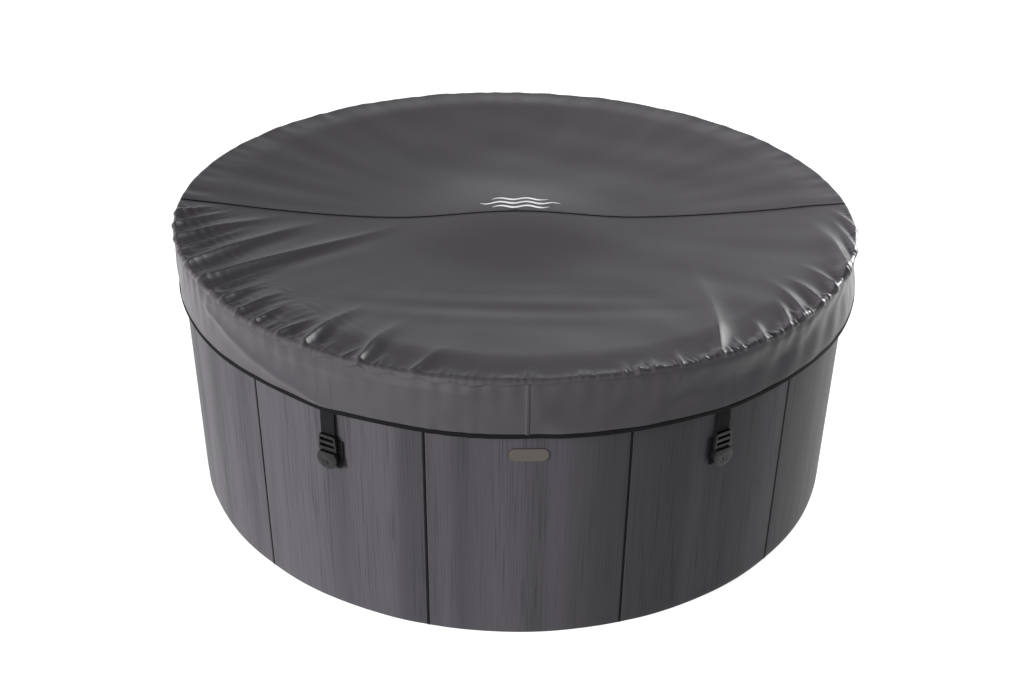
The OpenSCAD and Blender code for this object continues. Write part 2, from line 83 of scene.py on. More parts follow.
TUB = "tub"
REAR_HALF = "cover_rear_half"
FRONT_HALF = "cover_front_half"


def top_of(node):
    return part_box(node)[1]


def foot_of(node):
    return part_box(node)[0]


# ---- places read from the frame, in metres ----

WALL_R = round(top_of("outer_wall").x, 3)
WALL_TOP = top_of("outer_wall").z
SKIRT_R = round(top_of("skirt_front").x, 4)
HEM_Z = foot_of("hem_front").z
CREST_Z = top_of("cover_rear").z
SHEET_T = 0.001


# ---- sizes and colours that a user would change ----


def size(label, text, default, low=0.0, high=2.0):
    return FloatProperty(name=label, description=text, default=default, min=low, max=high, unit="LENGTH")


def colour(label, text, default):
    return FloatVectorProperty(
        name=label, description=text, default=default, size=3, subtype="COLOR", min=0, max=1
    )


class HotTubCover(bpy.types.PropertyGroup):
    sag: size("Sag", "How far the cover sags between its edge and its middle", 0.045)
    crown: size("Crown", "How far the middle of the cover stands above the sag", 0.019)
    pleat: size("Pleats", "Height of the gathers along the front edge", 0.0056, 0, 0.01)
    fold: FloatProperty(name="Folds", description="How deep the long folds are", default=1.9, min=0, max=2)
    lean: size("Lean", "How much higher the left edge stands than the right", 0.0085, 0, 0.02)
    hem: size("Hem", "Height of the bound hem", 0.012, 0.004, 0.02)
    stitch: size("Stitch", "Distance from one stitch to the next", 0.0075, 0.004, 0.02)
    leather: colour("Cover cloth", "Colour of the coated leather cloth", (0.0465, 0.0430, 0.0485))
    binding: colour("Binding", "Colour of the bound hem", (0.004, 0.004, 0.0045))


class HotTubWall(bpy.types.PropertyGroup):
    panels: IntProperty(name="Panels", description="Panels round the wall", default=12, min=6, max=24)
    groove: size("Groove", "Width of the seam between two panels", 0.0050, 0.001, 0.01)
    bulge: size("Bulge", "How far a panel bulges between its seams", 0.0016, 0, 0.004)
    vinyl: colour("Wall sheet", "Colour of the grained wall sheet", (0.047, 0.0445, 0.050))
    grain: colour("Grain", "Colour of the dark grain lines", (0.020, 0.020, 0.023))
    liner: colour("Liner", "Colour of the sheet inside the tub", (0.50, 0.51, 0.53))


class HotTubFittings(bpy.types.PropertyGroup):
    webbing: colour("Webbing", "Colour of the straps", (0.007, 0.007, 0.008))
    buckle: colour("Buckle", "Colour of the moulded buckles", (0.0065, 0.0065, 0.007))
    badge: colour("Badge", "Colour of the plain badge plate", (0.105, 0.092, 0.085))


def settings():
    scene = bpy.context.scene
    return scene.hot_tub_cover, scene.hot_tub_wall, scene.hot_tub_fittings


# ---- shader building ----


class Value:
    """A socket that carries a number, so that shader maths reads as Python."""

    def __init__(self, shade, socket):
        self.shade = shade
        self.socket = socket

    def _maths(self, operation, *terms):
        made = self.shade.node("ShaderNodeMath", {"operation": operation}, list(terms))
        return Value(self.shade, made.outputs[0])

    def __add__(self, other):
        return self._maths("ADD", self, other)

    def __sub__(self, other):
        return self._maths("SUBTRACT", self, other)

    def __rsub__(self, other):
        return self._maths("SUBTRACT", other, self)

    def __mul__(self, other):
        return self._maths("MULTIPLY", self, other)

    def clamped(self):
        return self._maths("MINIMUM", self._maths("MAXIMUM", self, 0.0), 1.0)

    __radd__ = __add__
    __rmul__ = __mul__


class Shade:
    """A procedural material with one glossy shader."""

    def __init__(self, name, **constants):
        self.material = bpy.data.materials.new(name)
        self.material.use_nodes = True
        self.tree = self.material.node_tree
        self.shader = self.tree.nodes["Principled BSDF"]
        for socket, value in constants.items():
            self.set(socket.replace("_", " "), value)

    def node(self, kind, options=None, inputs=None):
        made = self.tree.nodes.new(kind)
        for name, value in (options or {}).items():
            setattr(made, name, value)
        pairs = inputs.items() if isinstance(inputs, dict) else enumerate(inputs or [])
        for key, value in pairs:
            self._feed(made.inputs[key], value)
        return made

    def _feed(self, socket, value):
        if isinstance(value, Value):
            value = value.socket
        if isinstance(value, bpy.types.NodeSocket):
            self.tree.links.new(value, socket)
        else:
            socket.default_value = value

    def set(self, socket, value):
        if socket.endswith("Color"):
            value = as_colour(value)
        self._feed(self.shader.inputs[socket], value)

    def place(self, scale=(1, 1, 1)):
        """Where a point is on the object, stretched by scale."""
        coords = self.node("ShaderNodeTexCoord")
        moved = self.node("ShaderNodeMapping", inputs={"Vector": coords.outputs["Object"], "Scale": scale})
        return moved.outputs[0]

    def noise(self, scale, detail=3.0, rough=0.55, stretch=(1, 1, 1)):
        made = self.node("ShaderNodeTexNoise", inputs={
            "Vector": self.place(stretch), "Scale": scale, "Detail": detail, "Roughness": rough,
        })
        return Value(self, made.outputs["Fac"])

    def cells(self, scale):
        made = self.node("ShaderNodeTexVoronoi", inputs={"Vector": self.place(), "Scale": scale})
        return Value(self, made.outputs["Distance"])

    def ramp(self, value, low, high):
        """Runs from 0 at low to 1 at high."""
        made = self.node("ShaderNodeMapRange", {"interpolation_type": "SMOOTHSTEP"}, {
            "Value": value, "From Min": low, "From Max": high,
        })
        return Value(self, made.outputs[0])

    def mix(self, factor, first, second):
        made = self.node("ShaderNodeMix", {"data_type": "RGBA"})
        self._feed(made.inputs["Factor"], factor)
        self._feed(made.inputs[6], as_colour(first))
        self._feed(made.inputs[7], as_colour(second))
        return made.outputs[2]

    def bump(self, height, strength, distance=0.001):
        made = self.node("ShaderNodeBump", inputs={
            "Height": height, "Strength": strength, "Distance": distance,
        })
        self.set("Normal", made.outputs[0])
        return self.material


def as_colour(value):
    if isinstance(value, bpy.types.NodeSocket):
        return value
    return (*value[:3], 1.0)


def darker(value, share):
    return tuple(c * share for c in value[:3])


def leather_cloth(name, base):
    """Coated leather cloth: fine pebble, soft mottling and a low sheen."""
    rough = 0.34
    shade = Shade(name, Specular_IOR_Level=0.22)
    mottle = shade.noise(5.0, 4.0)
    pebble = shade.cells(700.0)
    crease = shade.noise(38.0, 6.0, 0.6)
    shade.set("Base Color", shade.mix(mottle, darker(base, 0.86), darker(base, 1.12)))
    shade.set("Roughness", rough - 0.05 + 0.10 * mottle + 0.05 * crease)
    return shade.bump(pebble * 0.5 + crease * 1.2, 0.35, 0.0006)


def grained_vinyl(name, base, grain):
    """Coated wall sheet printed and embossed with a fine upright grain."""
    shade = Shade(name, Specular_IOR_Level=0.15)
    fine = shade.noise(1.0, 2.0, 0.5, (420, 420, 4.5))
    broad = shade.noise(1.0, 2.0, 0.5, (22, 22, 1.1))
    plank = shade.noise(1.0, 1.0, 0.5, (9, 9, 0.25))
    line = shade.ramp(fine, 0.50, 0.66)
    streak = line * (0.40 + 0.60 * shade.ramp(broad, 0.42, 0.60))
    tone = shade.mix(shade.ramp(plank, 0.35, 0.65), darker(base, 0.82), darker(base, 1.24))
    shade.set("Base Color", shade.mix((streak * 0.55).clamped(), tone, grain))
    shade.set("Roughness", 0.50 + 0.12 * streak)
    return shade.bump(fine * -0.3 - streak, 0.35, 0.0006)


def woven_cloth(name, base, pitch, rough=0.8):
    """Plain weave with the given distance from thread to thread."""
    shade = Shade(name, Specular_IOR_Level=0.12)
    across = shade.node("ShaderNodeTexWave", {"bands_direction": "Z"}, {
        "Vector": shade.place(), "Scale": 0.314 / pitch, "Distortion": 0.4, "Detail": 1.0,
    })
    fuzz = shade.noise(0.6 / pitch, 2.0)
    thread = Value(shade, across.outputs["Fac"]) * 0.7 + fuzz * 0.6
    shade.set("Base Color", shade.mix(thread.clamped(), darker(base, 0.6), darker(base, 1.5)))
    shade.set("Roughness", rough)
    return shade.bump(thread, 0.6, pitch * 0.4)


def moulded_plastic(name, base, rough=0.45, grain=900.0, **constants):
    """Moulded plastic with a fine spark-eroded texture and slight handling marks."""
    shade = Shade(name, **constants)
    fine = shade.noise(grain, 2.0)
    marks = shade.noise(30.0, 5.0, 0.65)
    shade.set("Base Color", shade.mix(marks, darker(base, 0.85), darker(base, 1.15)))
    shade.set("Roughness", rough - 0.06 + 0.12 * marks)
    return shade.bump(fine, 0.25, 0.0003)


def smooth_vinyl(name, base, rough=0.32):
    """Smooth coated sheet with a slow waviness."""
    shade = Shade(name)
    wave = shade.noise(9.0, 3.0)
    shade.set("Base Color", shade.mix(wave, darker(base, 0.92), darker(base, 1.06)))
    shade.set("Roughness", rough + 0.1 * wave)
    return shade.bump(wave, 0.3, 0.004)


def brushed_metal(name, base, rough=0.32):
    shade = Shade(name, Metallic=1.0)
    lines = shade.noise(1.0, 3.0, 0.6, (60, 60, 2400))
    shade.set("Base Color", shade.mix(lines, darker(base, 0.8), darker(base, 1.15)))
    shade.set("Roughness", rough - 0.08 + 0.16 * lines)
    return shade.bump(lines, 0.15, 0.0002)


def foam_or_paper(name, base, scale):
    shade = Shade(name, Roughness=0.9, Specular_IOR_Level=0.2)
    pores = shade.cells(scale)
    shade.set("Base Color", shade.mix(pores.clamped(), darker(base, 0.7), base))
    return shade.bump(pores, 0.5, 0.0008)


def circuit_board(name):
    shade = Shade(name, Roughness=0.35)
    tracks = shade.ramp(shade.cells(220.0), 0.22, 0.30)
    shade.set("Base Color", shade.mix(tracks, (0.010, 0.10, 0.035), (0.02, 0.17, 0.06)))
    return shade.bump(tracks, 0.3, 0.0003)


MATERIALS = {}


def make_materials():
    cover, wall, fittings = settings()
    MATERIALS.update({
        "cover_leather": leather_cloth("cover_leather_cloth", cover.leather),
        "wall_skin": grained_vinyl("grained_wall_sheet", wall.vinyl, wall.grain),
        "liner": smooth_vinyl("liner_sheet", wall.liner),
        "base_sheet": foam_or_paper("base_sheet_rubber", (0.03, 0.03, 0.032), 500.0),
        "floor_foam": foam_or_paper("floor_foam", (0.16, 0.17, 0.19), 300.0),
        "web_scrim": woven_cloth("web_scrim", (0.22, 0.22, 0.24), 0.002),
        "badge_metal": brushed_metal("badge_satin_metal", fittings.badge, 0.38),
        "binding": woven_cloth("hem_binding_cloth", cover.binding, 0.0012),
        "bladder_vinyl": smooth_vinyl("bladder_vinyl", (0.20, 0.21, 0.23), 0.22),
        "white_plastic": moulded_plastic("light_grey_plastic", (0.55, 0.56, 0.58), 0.35),
        "webbing": woven_cloth("strap_webbing", fittings.webbing, 0.0014),
        "buckle_plastic": moulded_plastic("buckle_plastic", fittings.buckle, 0.36, Specular_IOR_Level=0.25),
        "lock_plastic": moulded_plastic("lock_plastic", fittings.buckle, 0.30, Specular_IOR_Level=0.3),
        "steel": brushed_metal("stainless_steel", (0.55, 0.56, 0.58)),
        "unit_plastic": moulded_plastic("unit_plastic", (0.024, 0.025, 0.027), 0.5),
        "display_glass": moulded_plastic("display_window", (0.004, 0.010, 0.016), 0.10, Coat_Weight=0.6),
        "circuit_board": circuit_board("circuit_board"),
        "rotor_plastic": moulded_plastic("rotor_plastic", (0.45, 0.30, 0.05), 0.4),
        "hose_rubber": moulded_plastic("hose_rubber", (0.03, 0.034, 0.04), 0.6),
        "filter_paper": foam_or_paper("filter_paper", (0.68, 0.72, 0.76), 400.0),
        "print": moulded_plastic("white_print", (0.72, 0.72, 0.74), 0.45, 500.0),
        "thread": woven_cloth("sewing_thread", (0.020, 0.020, 0.022), 0.0006, 0.7),
    })


def dress(piece, slot_name):
    piece.data.materials.clear()
    piece.data.materials.append(MATERIALS[slot_name])
    return piece


# ---- mesh helpers ----


def from_front(angle, radius, z=0.0):
    """A point at an angle in degrees from the front, + towards +X."""
    a = np.radians(angle)
    return np.stack(np.broadcast_arrays(radius * np.sin(a), -radius * np.cos(a), z), -1)


def new_piece(name, verts, faces, smooth=True):
    mesh = bpy.data.meshes.new(name)
    mesh.from_pydata(np.asarray(verts).reshape(-1, 3).tolist(), [], faces)
    mesh.validate()
    mesh.update()
    if smooth:
        mesh.polygons.foreach_set("use_smooth", [True] * len(mesh.polygons))
    piece = bpy.data.objects.new(name, mesh)
    bpy.context.scene.collection.objects.link(piece)
    return piece


def grid_faces(rows, cols, wrap=False, start=0):
    """Quads over a grid of points, row by row; wrap joins the last column to the first."""
    i = np.arange(rows - 1)[:, None] * cols
    j = np.arange(cols if wrap else cols - 1)[None, :]
    k = (j + 1) % cols
    quads = np.stack([i + j, i + k, i + cols + k, i + cols + j], -1).reshape(-1, 4) + start
    return quads.tolist()


def grid_piece(name, points, wrap=False):
    rows, cols = points.shape[:2]
    return new_piece(name, points, grid_faces(rows, cols, wrap))


def apply_modifier(piece, kind, **options):
    bpy.context.view_layer.objects.active = piece
    modifier = piece.modifiers.new(kind.lower(), kind)
    for name, value in options.items():
        setattr(modifier, name, value)
    bpy.ops.object.modifier_apply(modifier=modifier.name)
    return piece


def thicken(piece, thickness):
    """Gives a sheet its thickness, inward from the side that its faces look out of."""
    return apply_modifier(piece, "SOLIDIFY", thickness=thickness, offset=-1.0)


def edit_mesh(piece, change):
    """Opens the mesh of a piece, makes one change to it and closes it again."""
    mesh = bmesh.new()
    mesh.from_mesh(piece.data)
    change(mesh)
    mesh.to_mesh(piece.data)
    mesh.free()
    return piece


def oriented(piece, score):
    """Turns all the faces over if the score of their centres and normals is below zero."""

    def turn_over(mesh):
        if sum(score(f.calc_center_median(), f.normal) for f in mesh.faces) < 0:
            bmesh.ops.reverse_faces(mesh, faces=mesh.faces)

    return edit_mesh(piece, turn_over)


def face_up(piece):
    return oriented(piece, lambda centre, normal: normal.z)


def face_outward(piece):
    return oriented(piece, lambda centre, normal: normal.x * centre.x + normal.y * centre.y)


def face_inward(piece):
    return oriented(piece, lambda centre, normal: -normal.x * centre.x - normal.y * centre.y)


def face_away(mesh):
    bmesh.ops.recalc_face_normals(mesh, faces=mesh.faces)


def recalc_outside(piece):
    return edit_mesh(piece, face_away)


def points_in(parts):
    """How many points the parts of a mesh hold so far."""
    return sum(len(part) for part in parts)


def tube_along(name, centres, up, outs, profile):
    """Sweeps a closed profile of (out, up) pairs along a line and closes its ends."""
    ring = len(profile)
    verts = np.concatenate([[c + o * p + up * q for p, q in profile] for c, o in zip(centres, outs)])
    rows = len(centres)
    faces = grid_faces(rows, ring, wrap=True)
    faces += [list(range(ring))[::-1], [(rows - 1) * ring + i for i in range(ring)]]
    return recalc_outside(new_piece(name, verts, faces))


def round_profile(width, height, steps=12, power=0.6):
    """A soft-cornered rectangle as (out, up) pairs."""
    turns = [2 * math.pi * i / steps for i in range(steps)]

    def bend(v):
        return math.copysign(abs(v) ** power, v)

    return [(bend(math.cos(t)) * width / 2, bend(math.sin(t)) * height / 2) for t in turns]


def waves(rng, x, count, low, high):
    """A smooth random line along x, from -1 to 1 or so, with wavelengths from low to high."""
    total = np.zeros_like(np.asarray(x, float))
    for _ in range(count):
        length = rng.uniform(low, high)
        total += np.sin(2 * np.pi * (x / length + rng.random()))
    return total / math.sqrt(count)


def smoothstep(x, low, high):
    t = np.clip((x - low) / (high - low), 0, 1)
    return t * t * (3 - 2 * t)


# ---- cover ----

DIP_R = 0.325  # lowest ring of the sag
CREST_R = 0.855  # ring where the cover is back at its full height
EDGE_R = 0.9035  # where the cloth starts to turn down
TURN = 0.006  # radius of that turn
TURN_END = EDGE_R + TURN * math.pi / 2
LONG_FOLD_R = 0.908  # where the long folds start
PLEAT_R = 0.914  # where the short gathers start
HEM_LAP = 0.004  # how far the skirt ends above the lower edge of its binding
STRAP_ANGLES = {FRONT_HALF: (-30, 30), REAR_HALF: (150, 210)}

# Angle from the front, in degrees, and how far the edge of the cover sinks there, in mm
EDGE_SINK = [
    (-180, 12), (-135, 9), (-90, 2), (-62, 1), (-54, 4), (-47, 11), (-40, 13), (-10, 13), (0, 12),
    (7, 9), (15, 10), (27, 14), (41, 15), (50, 10), (58, 3), (66, 0), (90, 5), (135, 9), (180, 12),
]
# Angle and how much of the gathered edge hangs over the skirt, from 0 to 1
EDGE_LIP = [
    (-66, 0.1), (-52, 0.3), (-36, 0.55), (-22, 1.0), (-8, 0.9), (-1, 0.35), (5, 0.1), (40, 0.1),
    (60, 0.3), (80, 0.1),
]
# Angle and how strongly the edge is gathered
EDGE_GATHER = [
    (-92, 0), (-86, 0.4), (-70, 0.7), (-45, 1), (-28, 0.8), (-15, 0.4), (2, 0.45), (8, 0.85),
    (22, 1.2), (34, 1.25), (50, 1.35), (66, 1.2), (80, 0.6), (90, 0),
]
# Angle and the heading of a fold that starts there, in degrees from +X towards +Y
FOLD_HEADING = [(-90, 40), (-60, 50), (-24, 65), (10, 84), (35, 92), (60, 93), (90, 97)]

# Long folds of the front half: angle where it starts on the edge, where it ends (x, y),
# sideways bow, height and half width, in metres
LONG_FOLDS = [
    (-84, (-0.80, -0.02), 0.006, 0.0045, 0.013),
    (-79, (-0.74, -0.03), 0.010, 0.0055, 0.014),
    (-74, (-0.61, -0.02), 0.015, 0.0065, 0.017),
    (-69, (-0.66, -0.09), 0.012, 0.0045, 0.013),
    (-64, (-0.50, -0.02), 0.022, 0.0075, 0.018),
    (-58, (-0.27, -0.02), 0.030, 0.0080, 0.019),
    (-54, (-0.56, -0.30), 0.012, 0.0045, 0.013),
    (-51, (-0.60, -0.43), 0.006, 0.0045, 0.011),
    (-47, (-0.56, -0.49), 0.006, 0.0045, 0.011),
    (-43, (-0.54, -0.55), 0.004, 0.0045, 0.010),
    (-38, (-0.46, -0.63), 0.008, 0.0040, 0.011),
    (-33, (-0.36, -0.52), 0.014, 0.0055, 0.016),
    (-24, (-0.27, -0.60), 0.010, 0.0050, 0.018),
    (-16, (-0.16, -0.74), 0.008, 0.0030, 0.020),
    (28, (0.42, -0.24), -0.022, 0.0050, 0.026),
    (36, (0.53, -0.62), -0.004, 0.0040, 0.010),
    (42, (0.60, -0.52), -0.006, 0.0050, 0.011),
    (46, (0.60, -0.40), -0.010, 0.0050, 0.016),
    (51, (0.64, -0.40), -0.012, 0.0045, 0.015),
    (56, (0.70, -0.34), -0.010, 0.0050, 0.012),
    (62, (0.78, -0.05), -0.020, 0.0085, 0.026),
    (69, (0.84, -0.06), -0.010, 0.0060, 0.011),
    (78, (0.86, -0.02), -0.006, 0.0050, 0.009),
]


def by_angle(table, angle):
    """Value of a listed table at an angle from the front."""
    knots, values = zip(*table)
    return np.interp(angle, knots, values)


def rising_height(r, cover):
    """Height of the cover at radius r, as if it kept rising to its edge."""
    sag_z = CREST_Z - cover.sag
    middle = sag_z + cover.crown * (1 + np.cos(np.pi * np.clip(r / DIP_R, 0, 1))) / 2
    slope = sag_z + cover.sag * np.clip((r - DIP_R) / (CREST_R - DIP_R), 0, None) ** 1.7
    return np.where(r < DIP_R, middle, slope)


def cover_height(r, angle, cover):
    sink = 0.001 * by_angle(EDGE_SINK, angle) * smoothstep(r, 0.79, 0.925)
    x = r * np.sin(np.radians(angle))
    lean = -0.75 * cover.lean * x / CREST_R * smoothstep(r, 0.25, 0.85)
    return rising_height(r, cover) - sink * 1.18 + lean


def edge_height(angle, cover):
    """Height of the sewn edge between the top and the skirt."""
    return cover_height(np.full_like(angle, EDGE_R), angle, cover) - TURN


def ridge(across, width):
    """Cross-section of a fold with a fairly sharp crest."""
    return np.exp(-(np.sqrt(across**2 + (0.22 * width) ** 2) - 0.22 * width) / (0.75 * width))


def long_folds(x, y, cover):
    """Height of the long folds at plan points."""
    total = np.zeros_like(x)
    for angle, end, bow, height, width in LONG_FOLDS:
        start = from_front(angle, LONG_FOLD_R)[:2]
        along = np.array(end) - start
        reach = np.linalg.norm(along)
        along = along / reach
        side = np.array([-along[1], along[0]])
        u = ((x - start[0]) * along[0] + (y - start[1]) * along[1]) / reach
        v = (x - start[0]) * side[0] + (y - start[1]) * side[1]
        un = np.clip(u, 0, 1)
        middle = bow * 4 * un * (1 - un)
        fade = (1 - smoothstep(u, 0.10, 1.0)) * smoothstep(u, -0.10, 0.03)
        body = ridge(v - middle, width * (0.6 + 0.9 * un))
        valley = np.exp(-(((v - middle + 1.8 * width) / (1.5 * width)) ** 2))
        total += cover.fold * height * fade * (body - 0.35 * valley)
    return total


def rim_pleats(rng, x, y, cover):
    """Short gathers that run in from the front edge, each with its own reach and lean."""
    total = np.zeros_like(x)
    angle = -88.0
    while angle < 88.0:
        strength = float(by_angle(EDGE_GATHER, angle))
        left = angle < 0
        heading = math.radians(by_angle(FOLD_HEADING, angle) + rng.normal(0, 10))
        reach = rng.uniform(0.025, 0.110 if left else 0.070) * (0.6 + 0.6 * strength)
        width = rng.uniform(0.0040, 0.0085) * (1.2 if left else 1.0)
        height = cover.pleat * strength * rng.uniform(0.35, 1.35)
        start = from_front(angle, PLEAT_R)[:2]
        along = np.array([math.cos(heading), math.sin(heading)])
        dx, dy = x - start[0], y - start[1]
        u = dx * along[0] + dy * along[1]
        v = dy * along[0] - dx * along[1]
        near = (u > -0.05) & (u < reach) & (np.abs(v) < 0.05)
        un = np.clip(u[near] / reach, 0, 1)
        fade = (1 - smoothstep(un, 0.05, 1.0)) ** 1.3
        shape = ridge(v[near] - rng.normal(0, 0.008) * un**2, width * (1 + 1.4 * un))
        total[near] += height * fade * shape
        step = math.degrees(rng.uniform(0.010, 0.026) / 0.905)
        angle += step * (1.0 if left else 1.25)
    return total


def cover_relief(x, y, r, angle, cover):
    """How far the cloth of the cover stands off its plain section."""
    rng = np.random.default_rng(7)
    front = smoothstep(-y, 0.0, 0.035)
    near_edge = smoothstep(r, EDGE_R - 0.030, EDGE_R + 0.004)
    slow = waves(rng, x + 0.3 * y, 3, 0.30, 0.60) * waves(rng, y, 3, 0.25, 0.5)
    belt = np.exp(-((x / 0.34) ** 2) - ((y + 0.50) / 0.09) ** 2)
    bands = 1.8 * waves(rng, y + 0.06 * x, 2, 0.09, 0.13) * belt
    pucker = 1 - np.abs(waves(rng, np.radians(angle) * EDGE_R, 3, 0.014, 0.042))
    radial = waves(rng, angle, 4, 9, 26) * smoothstep(r, 0.35, 0.85)
    behind = waves(rng, angle, 4, 3.5, 8) * smoothstep(r, 0.80, 0.90)
    gather = by_angle(EDGE_GATHER, angle)
    back = 0.0010 * slow + 0.0012 * radial + 0.0007 * behind + 0.0006 * near_edge * pucker
    crossing = 1 - np.abs(waves(rng, x + 0.9 * y, 3, 0.045, 0.11))
    crumple = (1 - np.abs(waves(rng, 0.9 * x - y, 3, 0.05, 0.12))) * crossing
    crumple *= smoothstep(r, 0.66, 0.88) * smoothstep(-angle, 18, 45)
    calm = 1 - 0.75 * smoothstep(-angle, -4, 4)
    over = long_folds(x, y, cover) + rim_pleats(rng, x, y, cover) + 0.0016 * bands + 0.0017 * crumple
    over += (0.0006 + 0.0012 * gather) * near_edge * pucker * calm + 0.0010 * slow + 0.0006 * radial
    return back * (1 - front) + over * front


def lip_drop(angle):
    """How far the gathered edge hangs down over the skirt."""
    rng = np.random.default_rng(19)
    wave = np.clip(0.60 + 0.45 * waves(rng, angle, 3, 3.0, 9), 0.1, 1.4)
    return 0.0025 + 0.0095 * by_angle(EDGE_LIP, angle) * wave


def half_angles(front, count):
    """Angles from the front over one half of the cover, from -180 to 180."""
    if front:
        return np.linspace(-90, 90, count)
    return np.linspace(90, 270, count)


def signed(angle):
    return (np.asarray(angle) + 180) % 360 - 180


def cover_point(s, hang, angle, cover):
    """Points of the cloth at the distance s from the middle and a share of the hanging lip."""
    a = signed(angle)
    turn = np.clip((s - EDGE_R) / TURN, 0, math.pi / 2)
    r = np.minimum(s, EDGE_R)
    lip = by_angle(EDGE_LIP, a)
    plain = from_front(angle, r)
    relief = cover_relief(plain[..., 0], plain[..., 1], r, a, cover)
    out = TURN * np.sin(turn) + relief * np.sin(turn) * 0.30 + 0.0030 * lip * (np.sin(turn) + hang)
    z = cover_height(r, a, cover) - TURN * (1 - np.cos(turn)) - lip_drop(a) * hang
    return from_front(angle, r + out, z + relief * (1 - 0.55 * np.sin(turn)))


def cover_top(name, front, columns, rows, node, cover):
    inner = EDGE_R * (1 - (1 - np.linspace(0, 1, rows)) ** (1.6 if front else 1.3))
    inner[0] = 0.0003
    turning = EDGE_R + TURN * np.linspace(0, math.pi / 2, 7)[1:]
    hanging = np.linspace(0, 1, 6)[1:]
    s = np.concatenate([inner, turning, np.full(len(hanging), TURN_END)])
    hang = np.concatenate([np.zeros(rows + len(turning)), hanging])
    angles = half_angles(front, columns)
    points = cover_point(s[:, None] + 0 * angles, hang[:, None] + 0 * angles, angles + 0 * s[:, None], cover)
    piece = grid_piece(name, points)
    face_up(piece)
    thicken(piece, SHEET_T)
    dress(piece, "cover_leather")
    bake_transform(piece)
    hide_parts(node)
    return piece


def hem_height(angle):
    """Height of the hem's lower edge: a slow wave that dips at the straps."""
    rng = np.random.default_rng(11)
    a = signed(angle)
    wave = waves(rng, a, 4, 20, 60)
    dip = sum(np.exp(-((np.abs(a) - c) / 4.0) ** 2) for c in (30, 150))
    return HEM_Z + 0.0045 + 0.0026 * wave - 0.003 * dip


def slanting_fold(a, t, corner, rise, run, width, ends):
    """A fold down the skirt, from a corner (angle, t) on; ends holds where it grows and where it fades."""
    grow_from, grow_to, fade_from, fade_to = ends
    body = ridge(t - (corner[1] + rise * (a - corner[0]) / run), width)
    return body * smoothstep(a, grow_from, grow_to) * (1 - smoothstep(a, fade_from, fade_to))


def skirt_relief(angle, t):
    """How far the skirt stands off its plain ring; t runs from 0 at the top to 1 at the hem."""
    rng = np.random.default_rng(5)
    a = signed(angle)
    arc = np.radians(a) * SKIRT_R
    right = smoothstep(a, 1, 5) * (1 - smoothstep(a, 80, 90))
    left = smoothstep(-a, 2, 12) * (1 - smoothstep(-a, 84, 90))
    fold_at = 0.60 - 0.0028 * (a - 10) + 0.03 * waves(rng, a, 2, 14, 30)
    tuck = -0.0078 * smoothstep(t / fold_at, 0, 0.95) + 0.0135 * smoothstep(t, fold_at - 0.05, 0.95)
    tuck += 0.0050 * t * smoothstep(a, 30, 62)
    first = slanting_fold(a, t, (-56, 0.28), 0.62, 27, 0.11, (-60, -52, -36, -26))
    second = slanting_fold(a, t, (-50, 0.50), 0.50, 24, 0.08, (-53, -46, -34, -26))
    low = waves(rng, arc, 3, 0.03, 0.07) * smoothstep(t, 0.55, 0.95) * np.exp(-(((a + 8) / 10) ** 2))
    slant = waves(rng, arc * 0.8 + 0.10 * t, 4, 0.05, 0.13)
    pull = waves(rng, arc, 4, 0.02, 0.06) * (1 - t) ** 2
    soft = waves(rng, arc + 0.05 * t, 3, 0.18, 0.4)
    belly = np.sin(np.pi * np.clip(t, 0, 1)) ** 0.7
    return (
        0.0010 * soft * belly + 0.0009 * pull
        + left * (0.0011 * slant * belly + 0.0062 * first + 0.0042 * second + 0.0012 * low)
        + right * (tuck + 0.0013 * slant * belly)
    )


def skirt_radius(angle, t):
    a = signed(angle)
    top = SKIRT_R - 0.0036 * (1 - smoothstep(t, 0, 0.16))
    roll = 0.0042 * smoothstep(-a, 2, 10) * (1 - smoothstep(-a, 30, 44))
    roll *= np.exp(-(((t - 0.24) / 0.09) ** 2))
    return top - 0.0008 + roll + skirt_relief(angle, t) * smoothstep(t, 0, 0.12)


def skirt_level(angle, t, cover, lift=0.0):
    """Height on the skirt; t runs from 0 at the sewn edge, or a lift above it, to 1 at the hem."""
    top = edge_height(signed(angle), cover) + lift
    return top + (hem_height(angle) + HEM_LAP - top) * t


def skirt_points(angles, levels, cover):
    t, a = np.meshgrid(levels, angles, indexing="ij")
    return from_front(a, skirt_radius(a, t), skirt_level(a, t, cover, lift=0.001))


def skirt(name, front, node, columns, cover):
    piece = grid_piece(name, skirt_points(half_angles(front, columns), np.linspace(0, 1, 44), cover))
    face_outward(piece)
    thicken(piece, SHEET_T)
    dress(piece, "cover_leather")
    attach(piece, FRONT_HALF if front else REAR_HALF)
    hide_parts(node)
    return piece


def skirt_lap(cover):
    """Lapped upright seam in the middle of the front skirt."""
    t = np.linspace(0.02, 0.97, 30)
    rows = []
    for angle, lift in ((-0.62, 0.0), (-0.50, 0.0009), (-0.08, 0.0012), (0.0, 0.0002)):
        a = np.full_like(t, angle)
        rows.append(from_front(a, skirt_radius(a, t) + lift, skirt_level(a, t, cover)))
    piece = grid_piece("skirt_lapped_seam", np.array(rows))
    face_outward(piece)
    thicken(piece, 0.0006)
    dress(piece, "cover_leather")
    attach(piece, FRONT_HALF)
    return piece


def hem_binding(name, front, node, cover):
    angles = half_angles(front, 361)
    r = skirt_radius(angles, np.ones_like(angles)) - 0.0005
    centres = from_front(angles, r, hem_height(angles) + cover.hem / 2)
    piece = tube_along(name, centres, np.array([0.0, 0.0, 1.0]), from_front(angles, 1.0),
                       round_profile(0.0042, cover.hem, 12))
    dress(piece, "binding")
    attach(piece, FRONT_HALF if front else REAR_HALF)
    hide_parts(node)
    return piece


